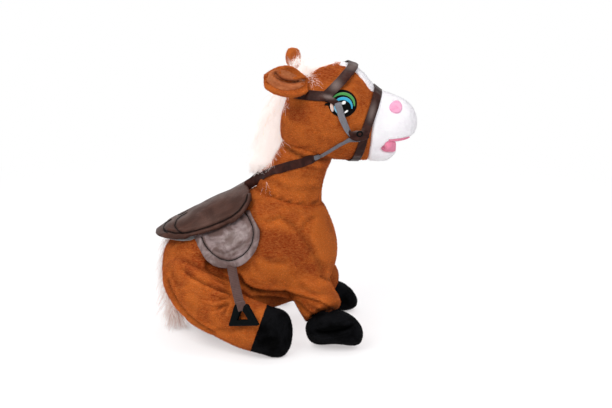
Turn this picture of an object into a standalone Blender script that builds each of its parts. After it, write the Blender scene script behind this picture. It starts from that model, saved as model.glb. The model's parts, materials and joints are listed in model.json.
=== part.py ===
# Plush horse with bridle, reins, saddle and stirrups, crouching on four splayed legs.
# Metres, +Z up, nose towards +X, origin on the floor under the middle of the toy.
import bpy
import bmesh
from math import cos, pi, radians, sin, sqrt
from mathutils import Matrix, Vector

# Gaps and counts that several pieces share
seam_gap = 0.0004
sweep_gap = 0.0012
cut_reach = 0.400
form_sides = 26
strap_thickness = 0.0012
strap_width = 0.0092

# Body
body_rear_x = -0.1240
body_length = 0.1745
body_height = 0.1560
body_half_width = 0.0580
body_low_share = 0.42
body_fullness_share = 0.92
body_station_shares = [
    (0.000, 0.410, 0.513, 0.155), (0.011, 0.346, 0.564, 0.379), (0.040, 0.269, 0.609, 0.586),
    (0.092, 0.167, 0.657, 0.776), (0.155, 0.071, 0.705, 0.897), (0.223, 0.016, 0.753, 0.966),
    (0.298, -0.003, 0.804, 1.000), (0.390, -0.003, 0.865, 1.000), (0.470, 0.026, 0.913, 0.983),
    (0.539, 0.109, 0.955, 0.966), (0.625, 0.163, 0.987, 0.931), (0.722, 0.199, 1.000, 0.897),
    (0.814, 0.231, 0.974, 0.853), (0.883, 0.269, 0.917, 0.776), (0.934, 0.321, 0.827, 0.664),
    (0.971, 0.385, 0.731, 0.500), (0.991, 0.455, 0.654, 0.310), (1.000, 0.513, 0.603, 0.138),
]

# Neck, from the collar seam to the ball under the head
collar_x = 0.0040
collar_z = 0.1402
collar_lean = radians(14.5)
neck_half_width = 0.0310
neck_base_half_length = 0.0330
neck_top_x = 0.0195
neck_top_z = 0.1840
neck_ball_radius = 0.0270
neck_station_shares = [
    (0.00, -0.020, 1.000, 1.00), (0.22, -0.250, 0.985, 0.98), (0.50, -0.240, 0.910, 0.92),
    (0.76, -0.160, 0.857, 0.87),
]
ball_rings = 6

# Head form: the brown head, the white blaze, muzzle and lower jaw are cut from it
head_back_x = -0.0055
head_length = 0.1340
head_bottom_z = 0.1765
head_height = 0.0975
head_half_width = 0.0410
head_low_share = 0.47
head_fullness_share = 0.94
head_station_shares = [
    (0.000, 0.292, 0.405, 0.171), (0.015, 0.200, 0.528, 0.390), (0.049, 0.128, 0.641, 0.585),
    (0.108, 0.082, 0.779, 0.756), (0.190, 0.051, 0.887, 0.890), (0.287, 0.031, 0.964, 0.976),
    (0.384, 0.021, 0.996, 1.000), (0.474, 0.015, 0.998, 0.988), (0.549, 0.013, 0.964, 0.951),
    (0.616, 0.010, 0.882, 0.890), (0.675, 0.005, 0.779, 0.829), (0.735, 0.001, 0.713, 0.780),
    (0.802, 0.011, 0.684, 0.732), (0.854, 0.062, 0.656, 0.695), (0.907, 0.159, 0.621, 0.634),
    (0.948, 0.221, 0.579, 0.549), (0.981, 0.282, 0.518, 0.390), (1.000, 0.354, 0.446, 0.171),
]
muzzle_seam_share = 0.640
muzzle_seam_lean = radians(5.0)
mouth_corner_share = 0.655
mouth_corner_height_share = 0.170
lip_rise = radians(15.5)
jaw_drop = radians(9.0)
tongue_reach_share = 0.845
blaze_back_share = 0.440
blaze_back_half_width = 0.0070
blaze_front_half_width = 0.0170
blaze_depth = 0.0080

# Eyes, nostrils
eye_x_share = 0.455
eye_height_share = 0.655
eye_half_length = 0.0135
eye_half_height = 0.0128
patch_thickness = 0.0010
nostril_x_share = 0.842
nostril_height_share = 0.575
nostril_half_length = 0.0055
nostril_half_height = 0.0068

# Ears
ear_length = 0.0530
ear_half_width = 0.0150
ear_cup_depth = 0.0095
ear_thickness = 0.0032
ear_lining_thickness = 0.0014
ear_root_x_share = 0.190
ear_root_height_share = 0.815
ear_root_y = 0.0265
ear_root_sink = 0.0048
ear_outline_shares = [0.44, 0.66, 0.86, 0.98, 1.00, 0.93, 0.74, 0.42]

# Hair
mane_half_thickness = 0.0100
mane_depth = 0.0220
mane_head_shares = [(0.030, 0.80, 0.45), (0.006, 0.56, 0.70), (0.010, 0.30, 0.86), (-0.024, 0.14, 0.76)]
mane_neck_shares = [(0.52, 0.55), (0.24, 0.28)]
mane_inward_share = 0.45
forelock_half_width = 0.0130
forelock_height = 0.0110
tail_length = 0.0960
tail_half_width = 0.0120
tail_half_depth = 0.0048
tail_root_height_share = 0.600
tail_root_inward = 0.0043

# Bridle
crown_height_share = 0.727
brow_foot_x_share = 0.335
brow_foot_height_share = 0.735
brow_lean = radians(43.0)
noseband_foot_share = 0.515
noseband_lean = radians(20.5)
cheek_height_share = 0.345
ring_radius = 0.0048
ring_wire_radius = 0.0011
cheek_turn_share = 0.55
rein_slack = 0.0010

# Hind legs
hip_x = -0.0800
hip_y = 0.0320
hip_z = 0.0540
hind_splay = radians(28.0)
thigh_radius = 0.0285
thigh_thickness = 0.0400
hind_length = 0.0880
hind_drop = 0.0290
hind_hoof_length = 0.0300
hind_hoof_half_height = 0.0242
hind_swing = radians(10.0)
hind_station_shares = [
    (-0.345, 0.20, 0.30, 0.0), (-0.32, 0.42, 0.55, 0.0), (-0.25, 0.69, 0.78, 0.0),
    (-0.13, 0.92, 0.94, 0.0), (0.05, 0.99, 1.0, 0.0), (0.30, 0.95, 1.0, 0.04),
    (0.60, 0.88, 1.04, 0.12), (0.86, 0.84, 1.06, 0.20),
]

# Forelegs
shoulder_x = 0.0200
shoulder_y = 0.0300
shoulder_z = 0.0590
shoulder_ball_radius = 0.0215
fore_reach_x = 0.0170
fore_reach_y = 0.0180
fore_drop = 0.0250
fore_ankle_radius = 0.0200
fore_hoof_length = 0.0560
fore_hoof_height = 0.0390
fore_hoof_half_width = 0.0220
fore_toe_turn = radians(8.0)

# Saddle
saddle_front_x = -0.0385
saddle_length = 0.0900
saddle_half_width = 0.0390
pad_thickness = 0.0016
pad_inset = 0.0010
seat_thickness = 0.0042
cantle_z = 0.0985
cantle_overhang = 0.0240
saddle_outline_shares = [0.62, 0.82, 0.93, 0.98, 1.00, 0.99, 0.96, 0.88, 0.74, 0.50]
flap_top_x = -0.0610
flap_half_length = 0.0320
flap_drop = 0.0370
flap_thickness = 0.0030
flap_slope = radians(24.0)
flap_rise = 0.0006
leather_place_share = -0.21
flap_surface_gap = 0.0017
leather_length = 0.0410
leather_slant = radians(14.0)
leather_flare = radians(50.0)
stirrup_flare = radians(16.0)
stirrup_height = 0.0215
stirrup_top_width = 0.0130
stirrup_foot_width = 0.0320
stirrup_bar = 0.0045
stirrup_thickness = 0.0026
stirrup_hinge_gap = 0.0032

# Colours: base colour, roughness, metallic
velboa_brown = ((0.42, 0.120, 0.022), 0.85, 0.0)
plush_white = ((0.86, 0.83, 0.82), 0.9, 0.0)
hair_white = ((0.88, 0.84, 0.82), 0.8, 0.0)
felt_pink = ((0.90, 0.30, 0.50), 0.85, 0.0)
lining_salmon = ((0.58, 0.20, 0.09), 0.85, 0.0)
velboa_black = ((0.012, 0.012, 0.014), 0.8, 0.0)
leather_dark = ((0.055, 0.032, 0.030), 0.42, 0.0)
leather_taupe = ((0.17, 0.13, 0.13), 0.38, 0.0)
felt_grey = ((0.25, 0.25, 0.26), 0.9, 0.0)
eye_print = ((0.02, 0.25, 0.40), 0.3, 0.0)
plastic_black = ((0.015, 0.015, 0.016), 0.45, 0.0)


def clear_scene():
    for thing in list(bpy.data.objects):
        bpy.data.objects.remove(thing, do_unlink=True)


def finish_material(name, finish):
    colour, roughness, metallic = finish
    material = bpy.data.materials.new(name)
    material.use_nodes = True
    shader = material.node_tree.nodes["Principled BSDF"]
    shader.inputs["Base Color"].default_value = (*colour, 1.0)
    shader.inputs["Roughness"].default_value = roughness
    shader.inputs["Metallic"].default_value = metallic
    material.diffuse_color = (*colour, 1.0)
    return material


def object_from(name, bm, finish=None, origin=Vector()):
    """A mesh object whose origin is at the given point."""
    bmesh.ops.recalc_face_normals(bm, faces=bm.faces)
    bmesh.ops.translate(bm, verts=bm.verts, vec=-origin)
    mesh = bpy.data.meshes.new(name)
    bm.to_mesh(mesh)
    bm.free()
    mesh.shade_smooth()
    mesh.set_sharp_from_angle(angle=radians(40))
    thing = bpy.data.objects.new(name, mesh)
    thing.location = origin
    bpy.context.scene.collection.objects.link(thing)
    if finish:
        mesh.materials.append(finish_material(name, finish))
    return thing


def as_cutter(thing):
    thing.hide_render = True
    thing.display_type = "WIRE"
    thing.name = "cutter_" + thing.name
    return thing


def boolean(thing, operation, cutter):
    modifier = thing.modifiers.new(operation.lower(), "BOOLEAN")
    modifier.operation = operation
    modifier.solver = "EXACT"
    modifier.object = cutter
    return thing


def signed_power(value, power):
    return abs(value) ** power * (1 if value >= 0 else -1)


def ring_points(centre, right, up, half_width, half_up, half_down, power=1.0, sides=None):
    """An oval ring whose upper and lower halves may differ, squarer where power is under 1."""
    sides = sides or form_sides
    points = []
    for side in range(sides):
        turn = 2 * pi * (side + 0.5) / sides
        across = half_width * signed_power(cos(turn), power)
        rise = signed_power(sin(turn), power)
        points.append(centre + right * across + up * rise * (half_up if rise > 0 else half_down))
    return points


def skin_over(rings):
    """A closed bmesh over rings of equal count."""
    bm = bmesh.new()
    rows = [[bm.verts.new(point) for point in ring] for ring in rings]
    for low, high in zip(rows, rows[1:]):
        for side, vert in enumerate(low):
            after = (side + 1) % len(low)
            bm.faces.new((vert, low[after], high[after], high[side]))
    bm.faces.new(rows[0])
    bm.faces.new(reversed(rows[-1]))
    bmesh.ops.recalc_face_normals(bm, faces=bm.faces)
    return bm


def swell(bm, amount):
    """Moves every vertex out along its normal."""
    bm.normal_update()
    moves = [(vert, vert.normal * amount * vert.calc_shell_factor()) for vert in bm.verts]
    for vert, move in moves:
        vert.co += move
    return bm


def box_cutter(name, size, place):
    """A box cutter: size along its own axes, placed by a matrix."""
    bm = bmesh.new()
    bmesh.ops.create_cube(bm, size=1.0)
    bmesh.ops.scale(bm, vec=size, verts=bm.verts)
    bmesh.ops.transform(bm, matrix=place, verts=bm.verts)
    return as_cutter(object_from(name, bm))


def half_space(name, point, outward):
    """A block that fills everything on the outward side of a plane."""
    turn = outward.to_track_quat("Z", "Y").to_matrix().to_4x4()
    shift = Matrix.Translation(point) @ turn @ Matrix.Translation((0, 0, cut_reach / 2))
    return box_cutter(name, (cut_reach, cut_reach, cut_reach), shift)


def slab_cutter(name, point, normal, thickness):
    """A flat slab centred on a plane."""
    turn = normal.to_track_quat("Z", "Y").to_matrix().to_4x4()
    return box_cutter(name, (cut_reach, cut_reach, thickness), Matrix.Translation(point) @ turn)


def between(start, end, share):
    return start + (end - start) * share


def read_stations(stations, share, column):
    """A station column at any share of the length, straight between stations."""
    for low, high in zip(stations, stations[1:]):
        if share <= high[0]:
            return between(low[column], high[column], (share - low[0]) / (high[0] - low[0]))
    return stations[-1][column]


# Body, with its seat cut flat and a socket for each leg

def body_rings():
    rings = []
    for along, low, high, wide in body_station_shares:
        bottom = low * body_height
        top = high * body_height
        middle = between(bottom, top, body_low_share)
        centre = Vector((body_rear_x + along * body_length, 0, middle))
        rings.append(ring_points(
            centre, Vector((0, 1, 0)), Vector((0, 0, 1)), wide * body_half_width,
            top - middle, middle - bottom, body_fullness_share))
    return rings


def body_top_at(x, y):
    """Height of the back of the body over a point of the floor."""
    share = (x - body_rear_x) / body_length
    bottom = read_stations(body_station_shares, share, 1) * body_height
    top = read_stations(body_station_shares, share, 2) * body_height
    half_width = read_stations(body_station_shares, share, 3) * body_half_width
    middle = between(bottom, top, body_low_share)
    inward = min(1.0, abs(y) / half_width) ** (1 / body_fullness_share)
    return middle + (top - middle) * sqrt(max(0.0, 1 - inward * inward)) ** body_fullness_share


def body_side_at(x, z):
    """Half width of the body at a point of its side view."""
    share = (x - body_rear_x) / body_length
    bottom = read_stations(body_station_shares, share, 1) * body_height
    top = read_stations(body_station_shares, share, 2) * body_height
    half_width = read_stations(body_station_shares, share, 3) * body_half_width
    middle = between(bottom, top, body_low_share)
    reach = top - middle if z > middle else middle - bottom
    rise = min(1.0, abs(z - middle) / reach) ** (1 / body_fullness_share)
    return half_width * sqrt(max(0.0, 1 - rise * rise)) ** body_fullness_share


def collar_frame():
    point = Vector((collar_x, 0, collar_z))
    along = Vector((cos(collar_lean), 0, -sin(collar_lean)))
    normal = Vector((sin(collar_lean), 0, cos(collar_lean)))
    return point, along, normal


def floor_cutter(name):
    return half_space(name, Vector(), Vector((0, 0, -1)))


def leg_frame(side):
    """Hip point, outward hinge axis, forward direction of a hind leg on one side."""
    hip = Vector((hip_x, side * hip_y, hip_z))
    outward = Vector((-sin(hind_splay), side * cos(hind_splay), 0))
    forward = Vector((cos(hind_splay), side * sin(hind_splay), 0))
    return hip, outward, forward


def hip_pocket(side):
    """A prism over everything that a hind leg's side view covers through its swing."""
    hip, outward, forward = leg_frame(side)
    run = outward * cut_reach / 2
    corners = []
    for share, high, _, _ in hind_station_shares:
        middle = hind_centre(side, share) - outward * thigh_thickness / 2
        rise = Vector((0, 0, high * thigh_radius + sweep_gap))
        corners += [middle - rise, middle + rise]
    corners += [corner + forward * hind_length for corner in corners[-2:]]
    bm = bmesh.new()
    for swing in (-hind_swing, 0, hind_swing):
        turn = Matrix.Rotation(swing, 3, outward)
        for corner in corners:
            place = hip + turn @ (corner - hip)
            bm.verts.new(place)
            bm.verts.new(place + run)
    hull = bmesh.ops.convex_hull(bm, input=bm.verts, use_existing_faces=False)
    inner = [item for item in hull["geom_interior"] if isinstance(item, bmesh.types.BMVert)]
    bmesh.ops.delete(bm, geom=inner, context="VERTS")
    bmesh.ops.dissolve_limit(bm, angle_limit=radians(1), verts=bm.verts, edges=bm.edges)
    return as_cutter(object_from("hip_pocket", bm))


def ball_cutter(name, centre, radius):
    bm = bmesh.new()
    bmesh.ops.create_uvsphere(bm, u_segments=24, v_segments=14, radius=radius)
    bmesh.ops.translate(bm, verts=bm.verts, vec=centre)
    return as_cutter(object_from(name, bm))


def make_body():
    body = object_from("body", skin_over(body_rings()), velboa_brown)
    point, _, normal = collar_frame()
    boolean(body, "DIFFERENCE", half_space("collar_plane", point, normal))
    boolean(body, "DIFFERENCE", floor_cutter("floor"))
    for side in (-1, 1):
        boolean(body, "DIFFERENCE", hip_pocket(side))
        shoulder = Vector((shoulder_x, side * shoulder_y, shoulder_z))
        boolean(body, "DIFFERENCE",
                ball_cutter("shoulder_socket", shoulder, shoulder_ball_radius + seam_gap))
    return body


# Neck, turning on the collar seam, with the ball that the head nods on

def neck_rings():
    point, along, normal = collar_frame()
    top = Vector((neck_top_x, 0, neck_top_z))
    start = point + normal * seam_gap
    span = neck_top_x - collar_x
    rings = []
    for share, shift, length_share, width_share in neck_station_shares:
        centre = start.lerp(top, share) + along * shift * span
        rings.append(ring_points(
            centre, Vector((0, 1, 0)), along, width_share * neck_half_width,
            length_share * neck_base_half_length, length_share * neck_base_half_length))
    for step in range(ball_rings):
        rise = pi / 2 * step / ball_rings
        radius = neck_ball_radius * cos(rise)
        centre = top + normal * neck_ball_radius * sin(rise)
        rings.append(ring_points(centre, Vector((0, 1, 0)), along, radius, radius, radius))
    return rings


def make_neck():
    point, _, _ = collar_frame()
    return object_from("neck", skin_over(neck_rings()), velboa_brown, point)


# Head and its face

def head_rings():
    rings = []
    for along, low, high, wide in head_station_shares:
        bottom = head_bottom_z + low * head_height
        top = head_bottom_z + high * head_height
        middle = between(bottom, top, head_low_share)
        centre = Vector((head_back_x + along * head_length, 0, middle))
        rings.append(ring_points(
            centre, Vector((0, 1, 0)), Vector((0, 0, 1)), wide * head_half_width,
            top - middle, middle - bottom, head_fullness_share))
    return rings


def head_point(x_share, height_share):
    return Vector((head_back_x + x_share * head_length, 0,
                   head_bottom_z + height_share * head_height))


def nod_centre():
    return Vector((neck_top_x, 0, neck_top_z))


def swollen_head(name, amount):
    return as_cutter(object_from(name, swell(skin_over(head_rings()), amount)))


def muzzle_plane(shift):
    """Point and forward normal of the seam between the head and the white muzzle."""
    point = head_point(muzzle_seam_share, 0)
    normal = Vector((cos(muzzle_seam_lean), 0, -sin(muzzle_seam_lean)))
    return point + normal * shift, normal


def blaze_cutter(name, grow):
    """The long wedge between the eyes and the muzzle that holds the blaze."""
    back = blaze_back_share * head_length + head_back_x - grow
    front = head_back_x + head_length
    seam = muzzle_plane(0)[0].x
    top = head_bottom_z + 2 * head_height
    back_floor = head_bottom_z + head_height - blaze_depth - grow
    seam_floor = head_bottom_z + read_stations(head_station_shares, muzzle_seam_share, 2) \
        * head_height - blaze_depth - grow
    slope = (seam_floor - back_floor) / (seam - back)
    spread = (blaze_front_half_width - blaze_back_half_width) / (seam - back)
    outline = []
    for x in (back, front):
        half = blaze_back_half_width + grow + spread * (x - back)
        floor = back_floor + slope * (x - back)
        outline.append([Vector((x, -half, floor)), Vector((x, half, floor)),
                        Vector((x, half, top)), Vector((x, -half, top))])
    return as_cutter(object_from(name, skin_over(outline)))


def mouth_plane(rise, shift):
    """Point and upward normal of a lip plane through the corner of the mouth."""
    point = head_point(mouth_corner_share, mouth_corner_height_share)
    normal = Vector((-sin(rise), 0, cos(rise)))
    return point + normal * shift, normal


def make_head():
    head = object_from("head", skin_over(head_rings()), velboa_brown, nod_centre())
    point, normal = muzzle_plane(0)
    boolean(head, "DIFFERENCE", half_space("muzzle_seam", point, normal))
    boolean(head, "DIFFERENCE",
            ball_cutter("neck_socket", nod_centre(), neck_ball_radius + seam_gap))
    boolean(head, "DIFFERENCE", blaze_cutter("blaze_slot", seam_gap))
    return head


def make_blaze():
    blaze = object_from("blaze", skin_over(head_rings()), plush_white, nod_centre())
    boolean(blaze, "INTERSECT", blaze_cutter("blaze_bounds", 0))
    point, normal = muzzle_plane(0)
    return boolean(blaze, "DIFFERENCE", half_space("blaze_front", point, normal))


def make_muzzle():
    muzzle = object_from("muzzle", skin_over(head_rings()), plush_white, nod_centre())
    point, normal = muzzle_plane(seam_gap)
    boolean(muzzle, "DIFFERENCE", half_space("muzzle_back", point, -normal))
    point, normal = mouth_plane(lip_rise, 0)
    return boolean(muzzle, "DIFFERENCE", half_space("upper_lip", point, -normal))


def make_lower_jaw():
    jaw = object_from("lower_jaw", skin_over(head_rings()), plush_white, nod_centre())
    point, normal = muzzle_plane(seam_gap)
    boolean(jaw, "DIFFERENCE", half_space("jaw_back", point, -normal))
    point, normal = mouth_plane(-jaw_drop, -2 * seam_gap)
    return boolean(jaw, "DIFFERENCE", half_space("jaw_top", point, normal))


def make_tongue():
    tongue = object_from("tongue", swell(skin_over(head_rings()), -seam_gap), felt_pink,
                         nod_centre())
    point, normal = muzzle_plane(2 * seam_gap)
    boolean(tongue, "DIFFERENCE", half_space("tongue_back", point, -normal))
    point, normal = mouth_plane(lip_rise, -seam_gap)
    boolean(tongue, "DIFFERENCE", half_space("palate", point, normal))
    point, normal = mouth_plane(-jaw_drop, -seam_gap)
    boolean(tongue, "DIFFERENCE", half_space("tongue_floor", point, -normal))
    point = head_point(tongue_reach_share, 0)
    return boolean(tongue, "DIFFERENCE", half_space("tongue_tip", point, Vector((1, 0, 0))))


def oval_post(name, centre, half_length, half_height, side):
    """An oval post along Y that starts inside the head and runs out on one side."""
    near = centre + Vector((0, side * seam_gap, 0))
    far = centre + Vector((0, side * cut_reach / 2, 0))
    rings = [ring_points(place, Vector((1, 0, 0)), Vector((0, 0, 1)), half_length,
                         half_height, half_height, sides=20) for place in (near, far)]
    return as_cutter(object_from(name, skin_over(rings)))


def make_patch(name, centre, half_length, half_height, side, finish):
    """A flat sewn patch that follows the face."""
    patch = object_from(name, swell(skin_over(head_rings()), seam_gap + patch_thickness),
                        finish, nod_centre())
    boolean(patch, "INTERSECT", oval_post(name, centre, half_length, half_height, side))
    return boolean(patch, "DIFFERENCE", swollen_head(name + "_bed", seam_gap))


# Ears: a cupped leaf and its lining

def ear_frame(side):
    """Root, direction, width and opening of an ear; the far one stands more upright."""
    root = head_point(ear_root_x_share, ear_root_height_share)
    root.y = side * ear_root_y
    if side < 0:
        reach = Vector((-0.87, -0.42, 0.16)).normalized()
        opening = Vector((-0.20, -0.80, 0.35))
    else:
        reach = Vector((-0.33, 0.86, 0.33)).normalized()
        opening = Vector((0.80, 0.30, -0.10))
    opening = (opening - reach * opening.dot(reach)).normalized()
    return root, reach, reach.cross(opening), opening


def crown_bed(name):
    """The room that the crown strap takes up on the head."""
    _, outer = strap_level(0)
    bed = swollen_head(name + "_bed", outer + seam_gap)
    slab = slab_cutter(name, head_point(0, crown_height_share), Vector((0, 0, 1)),
                       strap_width + 2 * sweep_gap)
    return boolean(bed, "INTERSECT", slab)


def ear_sheet(side, lift, shrink):
    """A leaf-shaped sheet bent into a cup about the ear's length, lifted into the cup."""
    root, reach, across, opening = ear_frame(side)
    columns = 8
    bm = bmesh.new()
    rows = []
    for row, share in enumerate(ear_outline_shares):
        along = ear_length * (row + 0.5) / len(ear_outline_shares) - ear_root_sink
        half = ear_half_width * share - shrink
        verts = []
        for column in range(columns + 1):
            swing = (-1 + 2 * column / columns) * half / ear_half_width
            bend = ear_cup_depth * swing * swing
            verts.append(bm.verts.new(
                root + reach * along + across * ear_half_width * swing + opening * bend))
        rows.append(verts)
    for low, high in zip(rows, rows[1:]):
        for column in range(columns):
            bm.faces.new((low[column], high[column], high[column + 1], low[column + 1]))
    bmesh.ops.recalc_face_normals(bm, faces=bm.faces)
    if sum((face.normal.dot(opening) for face in bm.faces)) < 0:
        bmesh.ops.reverse_faces(bm, faces=bm.faces)
    return swell(bm, lift), root


def make_ear(name, side):
    bm, root = ear_sheet(side, 0, 0)
    ear = object_from(name, bm, velboa_brown, root)
    add_thickness(ear, ear_thickness, 0)
    boolean(ear, "DIFFERENCE", swollen_head(name + "_root", seam_gap))
    return boolean(ear, "DIFFERENCE", crown_bed(name + "_strap"))


def make_ear_lining(name, side):
    lift = ear_thickness / 2 + ear_lining_thickness / 2 + seam_gap
    bm, root = ear_sheet(side, lift, ear_thickness)
    lining = object_from(name, bm, lining_salmon, root)
    add_thickness(lining, ear_lining_thickness, 0)
    return boolean(lining, "DIFFERENCE", swollen_head(name + "_root", seam_gap))


def add_thickness(thing, thickness, offset):
    modifier = thing.modifiers.new("thickness", "SOLIDIFY")
    modifier.thickness = thickness
    modifier.offset = offset
    modifier.use_even_offset = False
    modifier.use_rim = True
    return thing


# Hair: mane, forelock and tail

def smooth_route(points, steps):
    """A smooth curve through the points, with even steps between each two."""
    route = []
    last = len(points) - 1
    for index in range(last):
        before = points[max(0, index - 1)]
        start = points[index]
        end = points[index + 1]
        after = points[min(last, index + 2)]
        for step in range(steps):
            t = step / steps
            route.append(0.5 * (
                2 * start + (end - before) * t
                + (2 * before - 5 * start + 4 * end - after) * t * t
                + (3 * start - before - 3 * end + after) * t * t * t))
    route.append(points[last])
    return route


def ridge_rings(roots, tips, half_thickness, sides):
    """Rings of a hair ridge: full at the root line, thin at the tips."""
    rings = []
    last = len(roots) - 1
    for index, (root, tip) in enumerate(zip(roots, tips)):
        fade = max(0.35, min(1.0, 3.6 * min(index, last - index) / last))
        depth = (tip - root) * (0.45 + 0.55 * fade)
        centre = root + depth / 2
        up = depth.normalized()
        ring = []
        for side in range(sides):
            turn = 2 * pi * (side + 0.5) / sides
            taper = 0.62 - 0.38 * sin(turn)
            ring.append(centre + up * depth.length / 2 * sin(turn)
                        + Vector((0, half_thickness * fade * taper * cos(turn), 0)))
        rings.append(ring)
    return rings


def neck_back_at(share):
    """A point of the neck's back line, by share of the way from the collar to the ball."""
    point, along, normal = collar_frame()
    top = Vector((neck_top_x, 0, neck_top_z))
    shift = read_stations(neck_station_shares, share, 1) * (neck_top_x - collar_x)
    reach = read_stations(neck_station_shares, share, 2) * neck_base_half_length
    return point.lerp(top, share) + along * (shift - reach)


def mane_lines():
    """Root and tip lines of the mane, from the poll down to the withers."""
    roots = [head_point(x_share, height_share) for x_share, height_share, _ in mane_head_shares]
    roots += [neck_back_at(share) for share, _ in mane_neck_shares]
    depths = [stations[-1] for stations in mane_head_shares + mane_neck_shares]
    lean = Vector((-cos(collar_lean), 0, sin(collar_lean)))
    back = Vector((-1, 0, 0))
    tips = []
    for index, (root, depth) in enumerate(zip(roots, depths)):
        tips.append(root + back.lerp(lean, index / len(roots)) * depth * mane_depth)
    inside = [root.lerp(tip, -mane_inward_share) for root, tip in zip(roots, tips)]
    return smooth_route(inside, 4), smooth_route(tips, 4)


def make_mane():
    roots, tips = mane_lines()
    mane = object_from("mane", skin_over(ridge_rings(roots, tips, mane_half_thickness, 12)),
                       hair_white)
    boolean(mane, "DIFFERENCE", swollen_head("mane_bed", 2 * seam_gap))
    boolean(mane, "DIFFERENCE", crown_bed("mane_strap"))
    neck_bed = as_cutter(object_from("neck_bed", swell(skin_over(neck_rings()), 2 * seam_gap)))
    boolean(mane, "DIFFERENCE", neck_bed)
    point, _, normal = collar_frame()
    rim = point + normal * strap_width
    return boolean(mane, "DIFFERENCE", half_space("mane_end", rim, -normal))


def make_forelock():
    """A tuft that rises between the ears and lies forward on the head."""
    shares = [(0.095, 0.830, 0.35), (0.125, 0.930, 0.80), (0.195, 0.985, 1.00),
              (0.290, 1.010, 0.80), (0.380, 1.030, 0.55), (0.450, 1.030, 0.25)]
    rings = []
    for x_share, height_share, fade in shares:
        centre = head_point(x_share, height_share)
        rings.append(ring_points(
            centre, Vector((0, 1, 0)), Vector((0, 0, 1)), forelock_half_width * fade,
            forelock_height * fade, forelock_height * fade, sides=14))
    forelock = object_from("forelock", skin_over(rings), hair_white, nod_centre())
    return boolean(forelock, "DIFFERENCE", swollen_head("forelock_bed", seam_gap))


def tail_root():
    z = tail_root_height_share * body_height
    return Vector((body_rear_x + tail_root_inward, 0, z))


def make_tail():
    root = tail_root()
    shares = [(0.000, 0.000, 0.45), (-0.028, -0.12, 0.75), (-0.040, -0.28, 0.90),
              (-0.038, -0.48, 1.00), (-0.018, -0.68, 1.00), (0.030, -0.84, 0.90),
              (0.095, -0.92, 0.45)]
    middles = [root + Vector((across, 0, down)) * tail_length for across, down, _ in shares]
    fades = [fade for _, _, fade in shares]
    route = smooth_route(middles, 2)
    rings = []
    for index, centre in enumerate(route):
        before = route[max(0, index - 1)]
        after = route[min(len(route) - 1, index + 1)]
        run = (after - before).normalized()
        up = run.cross(Vector((0, 1, 0))).normalized()
        fade = between(fades[index // 2], fades[min(index // 2 + 1, len(fades) - 1)],
                       index % 2 / 2)
        rings.append(ring_points(centre, Vector((0, 1, 0)), up, tail_half_width * fade,
                                 tail_half_depth * fade, tail_half_depth * fade, sides=12))
    tail = object_from("tail", skin_over(rings), hair_white, root)
    bed = as_cutter(object_from("tail_bed", swell(skin_over(body_rings()), 2 * seam_gap)))
    return boolean(tail, "DIFFERENCE", bed)


# Legs and hooves

def hind_centre(side, share, inward=0.0):
    """A point of a hind leg's middle line, by share of its length."""
    hip, outward, forward = leg_frame(side)
    fall = sin(min(share, 1.0) * pi / 2) * hind_drop
    return (hip + outward * (thigh_thickness / 2 - inward) + forward * share * hind_length
            - Vector((0, 0, fall)))


def hind_rings(side):
    _, outward, _ = leg_frame(side)
    rings = []
    for share, high, wide, inward in hind_station_shares:
        centre = hind_centre(side, share, inward * thigh_thickness)
        half_height = high * thigh_radius
        rings.append(ring_points(centre, outward, Vector((0, 0, 1)),
                                 wide * thigh_thickness / 2, half_height, half_height,
                                 body_fullness_share))
    return rings


def make_hind_leg(name, side):
    hip, outward, _ = leg_frame(side)
    leg = object_from(name, skin_over(hind_rings(side)), velboa_brown, hip)
    boolean(leg, "DIFFERENCE", half_space(name + "_inside", hip + outward * seam_gap, -outward))
    return boolean(leg, "DIFFERENCE", floor_cutter(name + "_floor"))


def make_hind_hoof(name, side):
    """A round black foot that carries on from the ankle."""
    hip, outward, forward = leg_frame(side)
    shares = [(0.0, 0.93, 0.93), (0.14, 1.0, 1.0), (0.45, 1.0, 1.0), (0.72, 0.93, 0.90),
              (0.90, 0.74, 0.68), (1.0, 0.42, 0.36)]
    start = hind_centre(side, 0.86, 0.20 * thigh_thickness)
    base = hind_hoof_half_height - seam_gap
    rings = []
    for share, high, wide in shares:
        centre = start + forward * (seam_gap + share * hind_hoof_length)
        centre.z = between(start.z, base, min(1.0, share * 3))
        half_height = high * hind_hoof_half_height
        rings.append(ring_points(centre, outward, Vector((0, 0, 1)),
                                 wide * thigh_thickness * 0.55, half_height, half_height,
                                 body_fullness_share))
    hoof = object_from(name, skin_over(rings), velboa_black, hip)
    return boolean(hoof, "DIFFERENCE", floor_cutter(name + "_floor"))


def shoulder_point(side):
    return Vector((shoulder_x, side * shoulder_y, shoulder_z))


def foreleg_run(side):
    reach = Vector((fore_reach_x, side * fore_reach_y, -fore_drop))
    return reach, reach.normalized()


def foreleg_rings(side):
    """A ball in the shoulder socket that narrows to the leg and ends at the hoof seam."""
    centre = shoulder_point(side)
    reach, run = foreleg_run(side)
    right = run.cross(Vector((0, 0, 1))).normalized()
    up = right.cross(run)
    rings = []
    for step in range(1, ball_rings):
        turn = pi * 0.62 * step / (ball_rings - 1) - pi / 2 - 0.001
        radius = shoulder_ball_radius * cos(turn)
        rings.append(ring_points(centre + run * shoulder_ball_radius * sin(turn), right, up,
                                 radius, radius, radius, sides=20))
    for share in (0.74, 1.0):
        rings.append(ring_points(centre + reach * share, right, up, fore_ankle_radius,
                                 fore_ankle_radius, fore_ankle_radius, sides=20))
    return rings


def make_foreleg(name, side):
    leg = object_from(name, skin_over(foreleg_rings(side)), velboa_brown,
                      shoulder_point(side))
    boolean(leg, "DIFFERENCE", floor_cutter(name + "_floor"))
    return leg


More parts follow.
